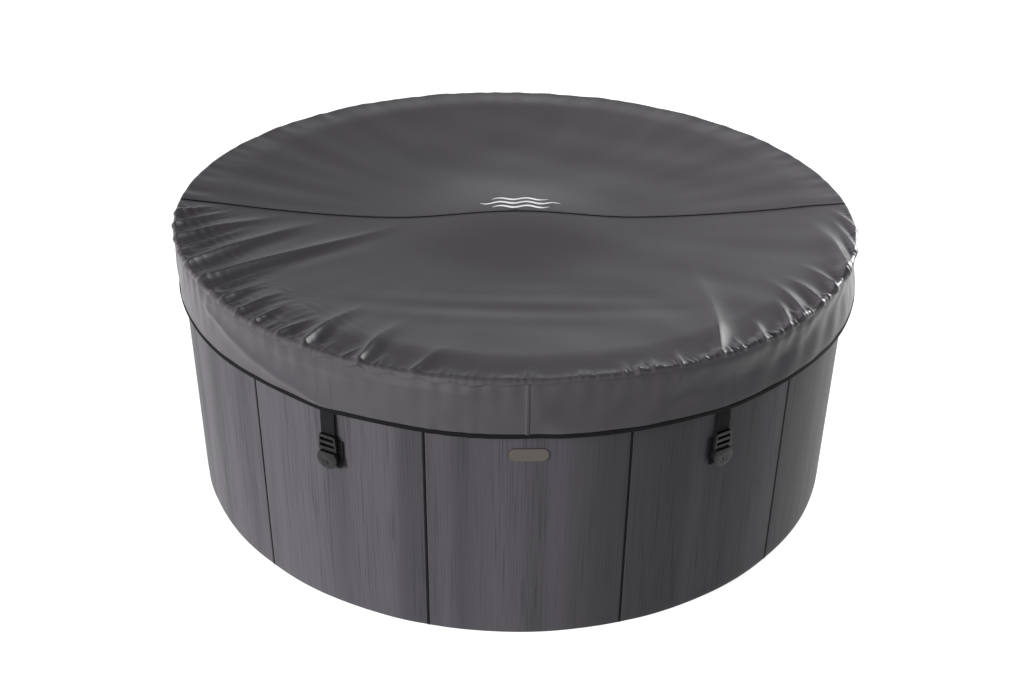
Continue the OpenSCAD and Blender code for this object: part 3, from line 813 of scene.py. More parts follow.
def on_cover(x, y, lift, cover):
    """Points that lie on the cloth of the cover at plan places."""
    r = np.hypot(x, y)
    angle = signed(np.degrees(np.arctan2(x, -y)))
    s = np.minimum(r, EDGE_R)
    z = cover_height(s, angle, cover) + cover_relief(x, y, s, angle, cover)
    return np.stack([x, y, z + lift], -1)


def centre_seam(cover):
    """Lapped seam along the fold: a narrow strip that lies on the cloth, dressed in the near-black binding
    cloth so that it also paints the shadow under the lapped edge as a dark line.
    """
    xs = np.linspace(-0.9065, 0.9065, 480)
    rows = [on_cover(xs, np.full_like(xs, y), lift, cover)
            for y, lift in ((-0.0012, 0.0003), (-0.0006, 0.0013), (0.0022, 0.0014), (0.0032, 0.0003))]
    piece = grid_piece("cover_centre_seam_painted_shadow", np.array(rows))
    face_up(piece)
    thicken(piece, 0.0008)
    # painted shadow: the near-black binding on this strip stands for the shade under the lapped edge
    dress(piece, "binding")
    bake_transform(piece)
    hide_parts("seam_welt")
    return piece


def printed_waves(cover):
    """Three plain wave lines printed in the middle of the cover."""
    off_centre, first_y, pitch = 0.014, 0.034, 0.029
    swing, length, thick = 0.0065, 0.075, 0.0052
    verts, faces = [], []
    for k, half in enumerate((0.080, 0.112, 0.080)):
        x = np.linspace(-half, half, 130) + off_centre
        y = first_y + pitch * k + swing * np.sin((x - off_centre) * 2 * np.pi / length)
        taper = thick * (1 - (np.abs(x - off_centre) / half) ** 4) + 0.0003
        rows = np.array([on_cover(x, y + side * taper, 0.0004, cover) for side in (-1, 1)])
        faces += grid_faces(2, len(x), start=points_in(verts))
        verts.append(rows.reshape(-1, 3))
    piece = new_piece("cover_printed_waves", np.concatenate(verts), faces)
    face_up(piece)
    thicken(piece, 0.0003)
    piece.data.materials.append(MATERIALS["print"])
    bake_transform(piece)
    return piece


# ---- stitching ----


def part_way(at, lengths, points):
    """Points at given lengths along a line."""
    return np.stack([np.interp(at, lengths, points[:, i]) for i in range(3)], -1)


def stitch_mesh(runs, pitch):
    """One small diamond per stitch along each run of points with outward directions."""
    verts, faces = [], []
    for points, outs in runs:
        points, outs = np.asarray(points, float), np.asarray(outs, float)
        lengths = np.concatenate([[0], np.cumsum(np.linalg.norm(np.diff(points, axis=0), axis=1))])
        at = np.arange(pitch / 2, lengths[-1], pitch)
        centre = part_way(at, lengths, points)
        out = part_way(at, lengths, outs)
        along = part_way(at + 0.001, lengths, points) - part_way(at - 0.001, lengths, points)
        along /= np.linalg.norm(along, axis=1, keepdims=True)
        side = np.cross(along, out)
        reach = 0.34 * pitch
        corners = np.stack([
            centre - along * reach, centre + along * reach, centre - side * 0.0005,
            centre + side * 0.0005, centre + out * 0.0006, centre - out * 0.0006,
        ], 1)
        for base in range(0, len(at) * 6, 6):
            k = base + points_in(verts)
            for a, b in ((0, 2), (2, 1), (1, 3), (3, 0)):
                faces.append((k + a, k + b, k + 4))
                faces.append((k + b, k + a, k + 5))
        verts.append(corners.reshape(-1, 3))
    return np.concatenate(verts), faces


def stitching(name, runs, pitch):
    verts, faces = stitch_mesh(runs, pitch)
    piece = new_piece(name, verts, faces, smooth=False)
    recalc_outside(piece)
    piece.data.materials.append(MATERIALS["thread"])
    return piece


def skirt_stitches(front, cover):
    """Rows of stitches on the hem, on the lapped seam and over the strap ends."""
    angles = half_angles(front, 721)
    outs = from_front(angles, 1.0)
    hem_r = skirt_radius(angles, np.ones_like(angles)) + 0.0017
    runs = [(from_front(angles, hem_r, hem_height(angles) + 0.72 * cover.hem), outs)]
    levels = np.linspace(0.05, 0.95, 60)
    # Angle, how far down the run starts and how proud of the cloth it lies
    straight = [(-0.30, 0.0, 0.0011)] if front else []
    for angle in STRAP_ANGLES[FRONT_HALF if front else REAR_HALF]:
        straight += [(angle - 1.2, 0.35, 0.0001), (angle + 1.2, 0.35, 0.0001)]
    for angle, low, proud in straight:
        a = np.full_like(levels, angle)
        t = low + (1 - low) * levels
        points = from_front(a, skirt_radius(a, t) + proud, skirt_level(a, t, cover))
        runs.append((points, from_front(a, 1.0)))
    piece = stitching("skirt_stitches_front" if front else "skirt_stitches_rear", runs, cover.stitch)
    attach(piece, FRONT_HALF if front else REAR_HALF)
    return piece


def seam_stitches(cover):
    xs = np.linspace(-0.895, 0.895, 600)
    up = np.tile([0.0, 0.0, 1.0], (len(xs), 1))
    runs = [(on_cover(xs, np.full_like(xs, y), 0.0021, cover), up) for y in (0.0, 0.0035)]
    piece = stitching("centre_seam_stitches", runs, cover.stitch)
    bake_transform(piece)
    return piece


# ---- bladders ----

CELL_R = 0.672
CELL_FOOT = 0.650
CELL_GAP = 0.014  # from the cover down to the top of a slack cell
CELL_SLACK = 0.004  # how much smaller a cell is before it is blown up
CELL_VOXEL = 0.010
BLOW_FRAMES = 20
BLOW_CAP = 0.006
WELD_DEPTH = 0.007
WELD_PITCH = 0.11
VALVE_Y = 0.56
VALVE_FOOT = 0.6445


def bladder_shell(name, front, cover):
    """Closed thin half disc under the cover, a little slack before it is blown up."""
    rows, cols = 30, 121
    verts, faces = [], []
    share = np.linspace(0, 1, rows)
    turns = np.linspace(-87.5, 87.5, cols)
    for level in (0, 1):
        f, a = np.meshgrid(share, turns, indexing="ij")
        r = 0.02 + (CELL_R - CELL_SLACK) * f**0.9
        plan = from_front(a, r)
        x, y = plan[..., 0], plan[..., 1] - 0.012
        r = np.hypot(x, y)
        puff = np.clip(np.minimum((1 - f) * 12, (-y - 0.010) / 0.03), 0.12, 1) ** 0.5
        bearing = signed(np.degrees(np.arctan2(x, -y)) + (0 if front else 180))
        top = cover_height(r, bearing, cover) - CELL_GAP
        low = CELL_FOOT + CELL_SLACK
        middle = (top + low) / 2
        z = middle + (top - middle) * puff if level else middle - (middle - low) * puff
        verts.append(np.stack([x, y, z], -1).reshape(-1, 3))
        quads = np.array(grid_faces(rows, cols)) + level * rows * cols
        faces += (quads if level else quads[:, ::-1]).tolist()
    last = (rows - 1) * cols
    ring = [i for i in range(cols)][::-1] + [i * cols for i in range(1, rows)]
    ring += [last + i for i in range(1, cols)]
    ring += [i * cols + cols - 1 for i in range(rows - 2, 0, -1)]
    n = rows * cols
    faces += [(a, b, b + n, a + n) for a, b in zip(ring, ring[1:] + ring[:1])]
    return recalc_outside(new_piece(name, np.concatenate(verts), faces))


def blow_up(piece):
    """Swells the piece with air, and lets no point move further than the cap."""
    apply_modifier(piece, "REMESH", mode="VOXEL", voxel_size=CELL_VOXEL, use_smooth_shade=True)
    before = np.array([v.co for v in piece.data.vertices])
    bpy.context.view_layer.objects.active = piece
    cloth = piece.modifiers.new("cloth", "CLOTH")
    cloth.settings.use_pressure = True
    cloth.settings.uniform_pressure_force = 4.0
    cloth.settings.quality = 4
    cloth.settings.effector_weights.gravity = 0.0
    scene = bpy.context.scene
    for span in (scene, cloth.point_cache):
        span.frame_start = 1
        span.frame_end = BLOW_FRAMES
    for number in range(1, BLOW_FRAMES + 1):
        scene.frame_set(number)
    swollen = piece.evaluated_get(bpy.context.evaluated_depsgraph_get())
    after = np.array([v.co for v in swollen.data.vertices])
    piece.modifiers.remove(cloth)
    scene.frame_set(1)
    move = after - before
    far = np.linalg.norm(move, axis=1, keepdims=True)
    after = before + move * np.minimum(1, BLOW_CAP / np.maximum(far, 1e-9))
    piece.data.vertices.foreach_set("co", after.ravel())
    piece.data.update()
    return piece


def weld_lines(piece):
    """Presses welded lines across the cell, in from both sides."""
    co = np.array([v.co for v in piece.data.vertices])
    off = (co[:, 0] + WELD_PITCH / 2) % WELD_PITCH - WELD_PITCH / 2
    from_middle = np.hypot(co[:, 0], co[:, 1] * 1.02)
    inside = smoothstep(0.60 - from_middle, 0, 0.05) * smoothstep(-co[:, 1], 0.05, 0.09)
    dent = WELD_DEPTH * np.exp(-((off / 0.010) ** 2)) * inside
    middle = co[:, 2].min() + 0.55 * (co[:, 2].max() - co[:, 2].min())
    co[:, 2] -= np.sign(co[:, 2] - middle) * np.minimum(dent, 0.6 * np.abs(co[:, 2] - middle))
    piece.data.vertices.foreach_set("co", co.ravel())
    piece.data.update()


def valve_bore(piece, plug):
    """Cuts the neck of the filling valve, with room for its plug."""
    low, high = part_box(plug)
    radius = (high.x - low.x) / 2 + 0.0006
    foot = low.z - 0.03
    head = high.z + 0.0015
    outline = [(0.0, foot), (radius, foot), (radius, head), (0.0, head)]
    axis = ((low.x + high.x) / 2, (low.y + high.y) / 2, 0)
    cutter = turned_piece("valve_cutter", outline, 48, axis)

    def merge(mesh):
        bmesh.ops.remove_doubles(mesh, verts=mesh.verts, dist=1e-6)
        face_away(mesh)

    edit_mesh(cutter, merge)
    apply_modifier(piece, "BOOLEAN", operation="DIFFERENCE", object=cutter, solver="EXACT")
    bpy.data.objects.remove(cutter)


def bladder(name, front, node, body, cover):
    piece = bladder_shell(name, front, cover)
    blow_up(piece)
    weld_lines(piece)
    if not front:
        piece.data.transform(Matrix.Rotation(math.pi, 4, "Z"))
    apply_modifier(piece, "SUBSURF", levels=1)
    valve_bore(piece, "bladder_plug_front" if front else "bladder_plug_rear")
    sharp_by_angle(piece, 50)
    dress(piece, "bladder_vinyl")
    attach(piece, body)
    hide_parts(node)
    return piece


def turned_piece(name, outline, steps, place):
    """A closed outline of (radius, height) pairs, turned about Z and moved into place."""
    verts = [(r * math.cos(t), r * math.sin(t), h)
             for t in (2 * math.pi * i / steps for i in range(steps)) for r, h in outline]
    n = len(outline)
    faces = []
    for i in range(steps):
        here, ahead = i * n, ((i + 1) % steps) * n
        faces += [(here + j, ahead + j, ahead + (j + 1) % n, here + (j + 1) % n) for j in range(n)]
    piece = new_piece(name, verts, faces)
    piece.data.transform(Matrix.Translation(place))
    return recalc_outside(piece)


def valve_collar(name, front, body):
    """Welded collar round the filling valve of an air cell, seen from below."""
    outline = [
        (0.0130, 0.0), (0.0150, -0.001), (0.018, 0.0), (0.024, 0.004), (0.027, 0.006),
        (0.024, 0.008), (0.0130, 0.008),
    ]
    piece = turned_piece(name, outline, 40, (0, -VALVE_Y if front else VALVE_Y, VALVE_FOOT))
    dress(piece, "bladder_vinyl")
    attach(piece, body)
    return piece


# ---- wall ----

WALL_SHEET_T = 0.0015
LINER_T = 0.003  # thickness that the designed liner stands in for
UNIT_HALF_ANGLE = 20  # half of the stretch of wall that the control unit takes, in degrees
SEAM_DEPTH = 0.0026
QUILT_PITCH = 0.16
QUILT_RISE = 0.004


def panel_seams(wall):
    """Angle of each upright seam, apart from the ones that the control unit takes."""
    step = 360 / wall.panels
    return [a for a in ((k + 0.5) * step for k in range(wall.panels))
            if abs(signed(a - 180)) > UNIT_HALF_ANGLE]


def wall_relief(angle, wall):
    """Soft bulge of each panel and a slight waviness, with a groove at each seam."""
    step = 360 / wall.panels
    across = (angle / step + 0.5) % 1.0
    from_seam = np.minimum(across, 1 - across) * np.radians(step) * WALL_R
    seam = np.where(np.abs(signed(angle - 180)) < UNIT_HALF_ANGLE, 0.0, 1.0)
    bulge = wall.bulge * (1 - np.exp(-from_seam / 0.03) * seam)
    groove = SEAM_DEPTH * seam * np.exp(-((from_seam / (0.62 * wall.groove)) ** 4))
    rng = np.random.default_rng(3)
    wave = waves(rng, angle, 3, 17, 41) * 0.0005
    return bulge - wall.bulge - groove + wave * (1 - np.exp(-from_seam / 0.05))


def wall_angles(wall):
    """Angles round the wall, closer together at each seam."""
    step = 360 / wall.panels
    half_groove = math.degrees(wall.groove / WALL_R)
    near = np.linspace(-1.4, 1.4, 15) * half_groove
    far = np.linspace(1.4 * half_groove, step - 1.4 * half_groove, 26)[1:-1]
    one = np.concatenate([near, far])
    return np.concatenate([(k + 0.5) * step + one for k in range(wall.panels)])


def wall_panels(wall):
    angles = wall_angles(wall)
    levels = np.concatenate([[0.0, 0.0012, 0.004], np.linspace(0.02, WALL_TOP, 30)])
    z, a = np.meshgrid(levels, angles, indexing="ij")
    r = WALL_R + wall_relief(a, wall) - 0.003 * np.exp(-z / 0.0015)
    points = from_front(a, r, z)
    low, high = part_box("unit_panel")
    half = math.degrees(math.atan2(high.x, high.y)) + 0.3
    flat = points.reshape(-1, 3)
    faces = []
    for quad in grid_faces(*points.shape[:2], wrap=True):
        middle = flat[quad].mean(0)
        turned = abs(math.degrees(math.atan2(middle[0], middle[1])))
        if not (turned < half and low.z < middle[2] < high.z):
            faces.append(quad)
    piece = new_piece("wall_panels", points, faces)
    face_outward(piece)
    thicken(piece, WALL_SHEET_T)
    dress(piece, "wall_skin")
    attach(piece, TUB)
    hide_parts("outer_wall")
    return piece


def panel_piping(wall):
    """Black bead in the groove between two panels."""
    verts, faces = [], []
    half_profile = [(0.0008, 0.0003), (0.0019, -0.0006), (0.0024, -0.0022)]
    profile = [(-p, q) for p, q in half_profile[::-1]] + half_profile
    levels = np.linspace(0.0006, WALL_TOP, 12)
    for angle in panel_seams(wall):
        side = from_front(angle + 90, 1.0)
        out = from_front(angle, 1.0)
        start = points_in(verts)
        section = np.array([out * (WALL_R - 0.0018 + q) + side * p for p, q in profile])
        rows = [section + np.array([0, 0, z]) for z in levels]
        verts.append(np.array(rows).reshape(-1, 3))
        faces += grid_faces(len(levels), len(profile), wrap=True, start=start)
        last = start + (len(levels) - 1) * len(profile)
        ends = range(len(profile))
        faces += [[start + i for i in ends][::-1], [last + i for i in ends]]
    piece = new_piece("panel_piping", np.concatenate(verts), faces)
    recalc_outside(piece)
    dress(piece, "binding")
    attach(piece, TUB)
    return piece


def rim():
    """Crown of the inflated wall, puckered along its two welds."""
    inner = top_of("inner_liner").x - LINER_T
    middle = (inner + WALL_R) / 2
    half = (WALL_R - inner) / 2
    rise = top_of("rim_top").z - 0.0035 - WALL_TOP
    share, a = np.meshgrid(np.linspace(-1, 1, 41), np.linspace(0, 360, 721)[:-1], indexing="ij")
    rng = np.random.default_rng(13)
    arc = np.radians(a) * middle
    near_weld = np.exp(-(1 - np.abs(share)) / 0.10)
    pucker = waves(rng, arc, 5, 0.012, 0.04) * near_weld * 0.0011
    radius = (half**2 + rise**2) / (2 * rise)
    z = WALL_TOP + np.sqrt(np.maximum(radius**2 - (share * half) ** 2, 0)) - (radius - rise) + pucker
    z += 0.0008 * waves(rng, a, 3, 20, 70) * (1 - share**2)
    piece = grid_piece("rim_crown", from_front(a, middle + share * half * 0.998, z), wrap=True)
    face_up(piece)
    thicken(piece, WALL_SHEET_T)
    dress(piece, "wall_skin")
    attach(piece, TUB)
    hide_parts("rim_top")
    return piece


def liner(wall):
    """Inner sheet of the air wall, drawn in a little where each tie is welded to it."""
    low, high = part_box("inner_liner")
    r_in = high.x - LINER_T
    ties = 2 * wall.panels
    z, a = np.meshgrid(np.linspace(low.z, high.z, 40), np.linspace(0, 360, 721)[:-1], indexing="ij")
    off = (a * ties / 360 + 0.5) % 1 - 0.5
    drawn = np.exp(-((off / 0.06) ** 2)) * smoothstep(z, low.z, low.z + 0.05)
    drawn *= 1 - smoothstep(z, high.z - 0.06, high.z)
    rng = np.random.default_rng(23)
    pucker = waves(rng, z, 4, 0.02, 0.05) * np.exp(-((off / 0.12) ** 2)) * 0.0005
    r = r_in + 0.0006 + 0.0016 * drawn + pucker + 0.0004 * waves(rng, a, 3, 25, 70)
    piece = grid_piece("liner_sheet", from_front(a, r, z), wrap=True)
    face_inward(piece)
    thicken(piece, 0.0012)
    dress(piece, "liner")
    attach(piece, TUB)
    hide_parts("inner_liner")
    return piece


def floor_mat():
    """Padded floor, pressed into a soft diamond pattern under the liner sheet."""
    low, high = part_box("floor_pad")
    radius = high.x - 0.001
    f, a = np.meshgrid(np.linspace(0.002, 1, 90), np.linspace(0, 360, 361)[:-1], indexing="ij")
    x, y = (from_front(a, f * radius)[..., i] for i in (0, 1))
    quilt = np.abs(np.sin(np.pi * (x + y) / QUILT_PITCH)) ** 0.4
    quilt = quilt * np.abs(np.sin(np.pi * (x - y) / QUILT_PITCH)) ** 0.4
    z = high.z - QUILT_RISE - 0.0005 + QUILT_RISE * quilt * smoothstep(1 - f, 0.02, 0.08)
    top = np.stack([x, y, z], -1)
    points = np.concatenate([top, from_front(a[-1], radius, low.z)[None]])
    faces = grid_faces(*points.shape[:2], wrap=True)
    cols = points.shape[1]
    faces += [list(range(cols)), [(len(points) - 1) * cols + i for i in range(cols)][::-1]]
    piece = recalc_outside(new_piece("floor_quilt", points, faces))
    dress(piece, "floor_foam")
    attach(piece, TUB)
    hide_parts("floor_pad")
    return piece


# ---- stage ----

CAMERA_AT = (-0.1266, -3.2435, 2.1798)
CAMERA_PITCH = 59.417
CAMERA_YAW = -2.4
CAMERA_ROLL = 0.887
CAMERA_LENS = 45.05

# The floor is a wide dish, flat at the tub and drawn up all round like a studio backdrop
FLOOR_FLAT_R = 5.0
FLOOR_BEND_R = 14
FLOOR_BEND = 3
FLOOR_TOP = 6.0
FLOOR_PAINT = (0.40, 0.40, 0.40)
FLOOR_GLOW = 0.82

KEY_POWER = 7.0
KEY_ANGLE = 28
KEY_HEADING = (0.90, 0.42, -0.23)
AIR_GLOW = 0.27
# Name, place, the point that it faces, width, height and power
LAMPS = [
    ("strip_right", (3.2, 1.9, 1.75), (0.6, -0.3, 0.7), 0.45, 2.4, 165),
    ("strip_back", (2.4, 2.5, 2.3), (0.5, -0.6, 0.7), 0.4, 1.6, 26),
    ("rim_front", (-1.8, -3.6, 0.8), (-0.35, -0.85, 0.68), 1.5, 0.25, 18),
    ("fill_right", (3.4, -2.8, 1.6), (0.5, -0.6, 0.4), 1.5, 1.5, 12),
]


def area_light(name, place, aim, width, height, power):
    data = bpy.data.lights.new(name, "AREA")
    data.shape = "RECTANGLE"
    data.size = width
    data.size_y = height
    data.energy = power
    lamp = bpy.data.objects.new(name, data)
    lamp.location = place
    lamp.rotation_euler = (Vector(aim) - Vector(place)).to_track_quat("-Z", "Y").to_euler()
    bpy.context.scene.collection.objects.link(lamp)


def make_floor():
    """A pale floor that lights itself slightly, gives other surfaces no diffuse bounce and throws no shadow.
    """
    turned = np.linspace(0, math.pi / 2, 13)
    bend_r = FLOOR_BEND_R + FLOOR_BEND * np.sin(turned)
    bend_z = FLOOR_BEND - FLOOR_BEND * np.cos(turned)
    sweep_r = np.concatenate([[0.01, FLOOR_FLAT_R], bend_r, [FLOOR_BEND_R + FLOOR_BEND]])
    sweep_z = np.concatenate([[0.0, 0.0], bend_z, [FLOOR_TOP]]) - 0.0005
    around = np.linspace(0, 360, 96, endpoint=False)
    points = from_front(around[None, :], sweep_r[:, None], sweep_z[:, None] + 0 * around)
    floor = grid_piece("studio_floor", points, wrap=True)
    face_up(floor)
    shade = Shade("studio_floor_paint", Base_Color=FLOOR_PAINT, Roughness=0.8,
                  Emission_Color=(1.0, 1.0, 1.0), Emission_Strength=FLOOR_GLOW)
    floor.data.materials.append(shade.material)
    floor.visible_diffuse = False
    floor.visible_shadow = False


def make_lights():
    """A broad key light without gloss, narrow lamps for the glints, and an even glow all round."""
    scene = bpy.context.scene
    sun = bpy.data.lights.new("soft_key", "SUN")
    sun.energy = KEY_POWER
    sun.angle = math.radians(KEY_ANGLE)
    key = bpy.data.objects.new("soft_key", sun)
    key.rotation_euler = Vector(KEY_HEADING).to_track_quat("-Z", "Y").to_euler()
    key.visible_glossy = False
    scene.collection.objects.link(key)
    for lamp in LAMPS:
        area_light(*lamp)

    world = bpy.data.worlds.new("studio_air")
    scene.world = world
    world.use_nodes = True
    sky = world.node_tree.nodes["Background"]
    sky.inputs["Color"].default_value = (1, 1, 1, 1)
    sky.inputs["Strength"].default_value = AIR_GLOW


def make_camera():
    scene = bpy.context.scene
    data = bpy.data.cameras.new("camera")
    data.lens = CAMERA_LENS
    data.sensor_width = 36
    camera = bpy.data.objects.new("camera", data)
    camera.location = CAMERA_AT
    aim = Matrix.Rotation(math.radians(CAMERA_YAW), 4, "Z")
    tilt = Matrix.Rotation(math.radians(CAMERA_PITCH), 4, "X")
    roll = Matrix.Rotation(math.radians(CAMERA_ROLL), 4, "Z")
    camera.rotation_euler = (aim @ tilt @ roll).to_euler()
    scene.collection.objects.link(camera)
    scene.camera = camera
    scene.view_settings.view_transform = "Standard"


# ---- straps ----

WEBBING_HALF = 0.019
WEBBING_T = 0.0016
STRAP_GAP = 0.0032  # from the wall out to the strap, before it rises over its buckle
BUCKLE_TOP = 0.575  # heights between which it rises
BUCKLE_BAR = 0.540
TAIL_GAP = 0.0022
TAIL_SPAN = (0.0185, 0.0360)  # how far the tail lies beside the middle of its strap
TAIL_TOP = 0.492
TAIL_FOOT = 0.422
# Row counted up from the tail's end, and how far its sides are drawn up
TAIL_END = [(-1, 0.006), (-2, 0.0018), (-3, 0.0006)]


def webbing_run(angle, xs, line):
    """Grid of points for a band of webbing: line gives (height, radius) pairs, xs the width."""
    rib = 0.00016 * np.cos(np.linspace(-1, 1, len(xs)) * np.pi * 6)
    z = np.array([p[0] for p in line])[:, None] + 0 * xs
    r = np.array([p[1] for p in line])[:, None] + rib
    side, out = from_front(angle + 90, 1.0), from_front(angle, 1.0)
    return xs[:, None] * side + r[..., None] * out + z[..., None] * np.array([0, 0, 1.0])


def strap(name, body, node):
    """Webbing from behind the skirt into its buckle, with a loose tail beside it."""
    low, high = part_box(node)
    verts, faces = [], []
    for angle in STRAP_ANGLES[body]:
        main_z = np.linspace(high.z, low.z, 30)
        over_buckle = 0.0030 * smoothstep(-main_z, -BUCKLE_TOP, -BUCKLE_BAR)
        main = list(zip(main_z, WALL_R + STRAP_GAP + over_buckle))
        toward_middle = 1 if signed(angle) < 0 else -1
        if abs(signed(angle)) > 90:
            toward_middle = -toward_middle
        tail_z = np.linspace(TAIL_TOP, TAIL_FOOT, 30)
        stand_off = 0.0070 * smoothstep(-tail_z, -0.462, -TAIL_FOOT) ** 2
        tail = list(zip(tail_z, WALL_R + TAIL_GAP + stand_off))
        tail_x = toward_middle * np.linspace(*TAIL_SPAN, 7)
        for xs, line in ((np.linspace(-WEBBING_HALF, WEBBING_HALF, 13), main), (tail_x, tail)):
            points = webbing_run(angle, np.sort(xs), line)
            if line is tail:
                sides = np.linspace(-1, 1, points.shape[1]) ** 2
                for row, pull in TAIL_END:
                    points[row, :, 2] += pull * sides
            faces += grid_faces(*points.shape[:2], start=points_in(verts))
            verts.append(points.reshape(-1, 3))
    piece = new_piece(name, np.concatenate(verts), faces)
    face_outward(piece)
    thicken(piece, WEBBING_T)
    dress(piece, "webbing")
    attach(piece, body)
    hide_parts(node)
    return piece


# ---- moulded parts that keep their designed shape ----

# Node and the radius of its moulded edges
MOULDED = {
    "badge_plate": 0.0007, "buckle_receivers": 0.0016, "receiver_tabs": 0.0004, "tab_rivets": 0.0003,
    "unit_panel": 0.0008, "panel_screws": 0.0003, "console_housing": 0.0010, "display_lens": 0.0005,
    "wall_fittings": 0.0010, "filter_cap": 0.0010, "valve_base": 0.0006, "valve_cap": 0.0008,
    "valve_stem": 0.0004, "drain_pipe": 0.0006, "drain_cap": 0.0008, "drain_plug": 0.0006,
    "cable_gland": 0.0004, "bladder_plug_front": 0.0004, "bladder_plug_rear": 0.0004,
}
PLACES = ("front_left", "front_right", "rear_left", "rear_right")
for place in PLACES:
    MOULDED["buckle_" + place] = 0.0010
    MOULDED["lock_" + place] = 0.0004
for use in ("heat", "filter", "bubble", "up", "down"):
    MOULDED["button_" + use] = 0.0006


def sharp_by_angle(piece, degrees):
    """Shades the piece smooth apart from its sharp corners."""
    limit = math.radians(degrees)

    def shade(mesh):
        for face in mesh.faces:
            face.smooth = True
        for edge in mesh.edges:
            edge.smooth = len(edge.link_faces) == 2 and edge.calc_face_angle(0) < limit

    return edit_mesh(piece, shade)


def moulded(node, radius):
    """A copy of a designed part with its sharp edges rounded as a mould would leave them."""
    piece = bpy.data.objects.new(node + "_moulding", frame["nodes"][node].data.copy())
    bpy.context.scene.collection.objects.link(piece)
    flat = math.radians(0.8)

    def clean(mesh):
        bmesh.ops.remove_doubles(mesh, verts=mesh.verts, dist=2e-5)
        bmesh.ops.dissolve_limit(mesh, angle_limit=flat, verts=mesh.verts, edges=mesh.edges)

    edit_mesh(piece, clean)
    apply_modifier(piece, "BEVEL", width=radius, segments=2, limit_method="ANGLE",
                   angle_limit=math.radians(38), use_clamp_overlap=True)
    return sharp_by_angle(piece, 50)


def oval_outline(piece, node):
    """Draws the top and foot of a buckle in, so that its outline is an oval."""
    low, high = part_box(node)
    middle = (low + high) / 2
    out = Vector((middle.x, middle.y, 0)).normalized()
    side = Vector((-out.y, out.x, 0))
    for vertex in piece.data.vertices:
        height = (vertex.co.z - middle.z) / (high.z - low.z) * 2
        across = (vertex.co - middle).dot(side)
        taper = 0.10 if height < 0 else 0.02
        vertex.co -= side * across * (0.20 * abs(height) ** 3 + taper * abs(height))


def dress_nodes():
    slots = {part["node"]: part["material_slot"] for part in frame["record"]["subparts"]}
    for name, radius in MOULDED.items():
        piece = moulded(name, radius)
        if name in ["buckle_" + place for place in PLACES]:
            oval_outline(piece, name)
        dress(piece, slots[name])
        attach(piece, frame["nodes"][name]["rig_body"])
        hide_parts(name)
    for name, piece in frame["nodes"].items():
        if not piece.hide_render:
            dress(piece, slots[name])


# ---- operators ----


class HOTTUB_OT_stage(bpy.types.Operator):
    """Make the floor, the soft lights and the camera"""

    bl_idname = "hot_tub.stage"
    bl_label = "Stage"

    def execute(self, context):
        make_floor()
        make_lights()
        make_camera()
        return {"FINISHED"}


class HOTTUB_OT_finishes(bpy.types.Operator):
    """Make the materials that the pieces are dressed in"""

    bl_idname = "hot_tub.finishes"
    bl_label = "Finishes"

    def execute(self, context):
        make_materials()
        return {"FINISHED"}


class HOTTUB_OT_wall(bpy.types.Operator):
    """Build the panelled outer wall"""

    bl_idname = "hot_tub.wall"
    bl_label = "Wall"

    def execute(self, context):
        wall_panels(settings()[1])
        panel_piping(settings()[1])
        return {"FINISHED"}


class HOTTUB_OT_cover(bpy.types.Operator):
    """Build the cover's cloth, its skirt, its hem and its centre seam"""

    bl_idname = "hot_tub.cover"
    bl_label = "Cover"

    def execute(self, context):
        cover = settings()[0]
        cover_top("cover_top_front", True, 901, 110, "cover_front", cover)
        cover_top("cover_top_rear", False, 451, 60, "cover_rear", cover)
        skirt("cover_skirt_front", True, "skirt_front", 721, cover)
        skirt("cover_skirt_rear", False, "skirt_rear", 361, cover)
        skirt_lap(cover)
        hem_binding("hem_binding_front", True, "hem_front", cover)
        hem_binding("hem_binding_rear", False, "hem_rear", cover)
        centre_seam(cover)
        printed_waves(cover)
        return {"FINISHED"}


class HOTTUB_OT_stitching(bpy.types.Operator):
    """Sew the skirt, the hem and the centre seam"""

    bl_idname = "hot_tub.stitching"
    bl_label = "Stitching"

    def execute(self, context):
        cover = settings()[0]
        skirt_stitches(True, cover)
        skirt_stitches(False, cover)
        seam_stitches(cover)
        return {"FINISHED"}


class HOTTUB_OT_bladders(bpy.types.Operator):
    """Blow up the two air cells under the cover"""

    bl_idname = "hot_tub.bladders"
    bl_label = "Bladders"

    def execute(self, context):
        cover = settings()[0]
        bladder("bladder_cell_front", True, "bladder_front", FRONT_HALF, cover)
        bladder("bladder_cell_rear", False, "bladder_rear", REAR_HALF, cover)
        valve_collar("valve_collar_front", True, FRONT_HALF)
        valve_collar("valve_collar_rear", False, REAR_HALF)
        return {"FINISHED"}


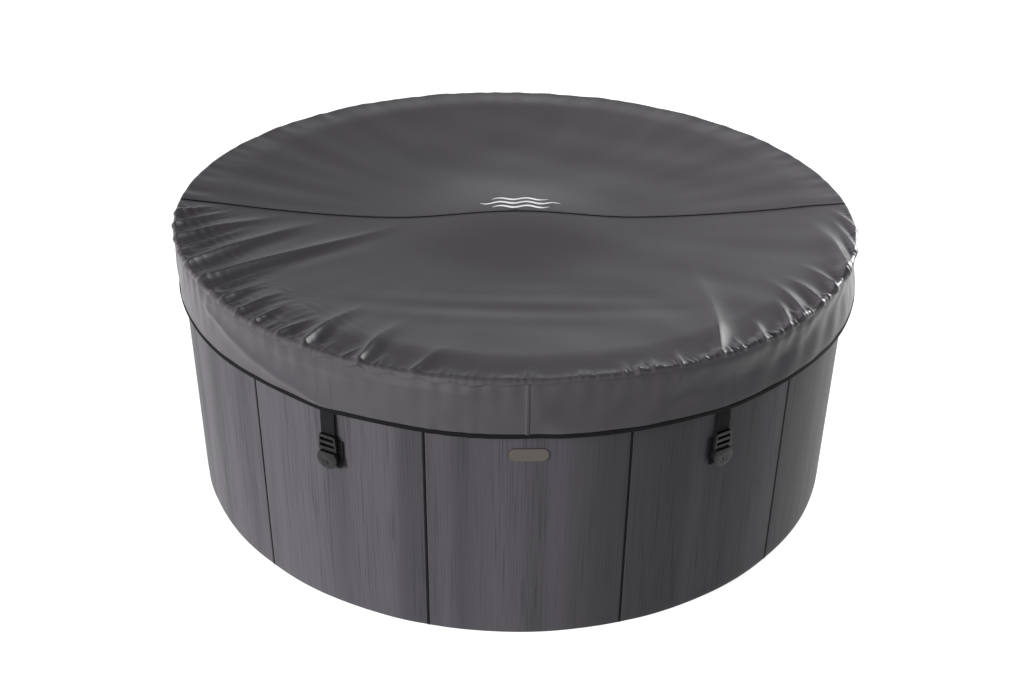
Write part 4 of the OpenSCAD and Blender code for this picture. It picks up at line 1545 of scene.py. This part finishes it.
class HOTTUB_OT_lining(bpy.types.Operator):
    """Build the crown of the rim, the liner and the padded floor"""

    bl_idname = "hot_tub.lining"
    bl_label = "Lining"

    def execute(self, context):
        rim()
        liner(settings()[1])
        floor_mat()
        return {"FINISHED"}


class HOTTUB_OT_straps(bpy.types.Operator):
    """Build the webbing straps"""

    bl_idname = "hot_tub.straps"
    bl_label = "Straps"

    def execute(self, context):
        strap("webbing_front", FRONT_HALF, "straps_front")
        strap("webbing_rear", REAR_HALF, "straps_rear")
        return {"FINISHED"}


class HOTTUB_OT_fittings(bpy.types.Operator):
    """Dress the parts that keep their designed shape"""

    bl_idname = "hot_tub.fittings"
    bl_label = "Fittings"

    def execute(self, context):
        dress_nodes()
        return {"FINISHED"}


STEPS = ["stage", "finishes", "wall", "lining", "cover", "stitching", "bladders", "straps", "fittings"]


class HOTTUB_PT_panel(bpy.types.Panel):
    """Lists the steps that build the hot tub"""

    bl_idname = "HOTTUB_PT_panel"
    bl_label = "Hot tub"
    bl_space_type = "VIEW_3D"
    bl_region_type = "UI"
    bl_category = "Hot tub"

    def draw(self, context):
        for group in settings():
            for name in group.__annotations__:
                self.layout.prop(group, name)
        for step in STEPS:
            self.layout.operator(f"hot_tub.{step}")


GROUPS = {"hot_tub_cover": HotTubCover, "hot_tub_wall": HotTubWall, "hot_tub_fittings": HotTubFittings}
CLASSES = [
    HotTubCover, HotTubWall, HotTubFittings,
    HOTTUB_OT_stage, HOTTUB_OT_finishes, HOTTUB_OT_wall, HOTTUB_OT_lining, HOTTUB_OT_cover,
    HOTTUB_OT_stitching, HOTTUB_OT_bladders, HOTTUB_OT_straps, HOTTUB_OT_fittings, HOTTUB_PT_panel,
]


def register():
    for cls in CLASSES:
        bpy.utils.register_class(cls)
    for name, cls in GROUPS.items():
        setattr(bpy.types.Scene, name, PointerProperty(type=cls))


def unregister():
    for name in GROUPS:
        delattr(bpy.types.Scene, name)
    for cls in reversed(CLASSES):
        bpy.utils.unregister_class(cls)


def plain(bounds):
    return [[float(c) for c in corner] for corner in bounds]


def main():
    register()
    for step in STEPS:
        getattr(bpy.ops.hot_tub, step)()
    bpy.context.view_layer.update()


if __name__ == "__main__":
    main()
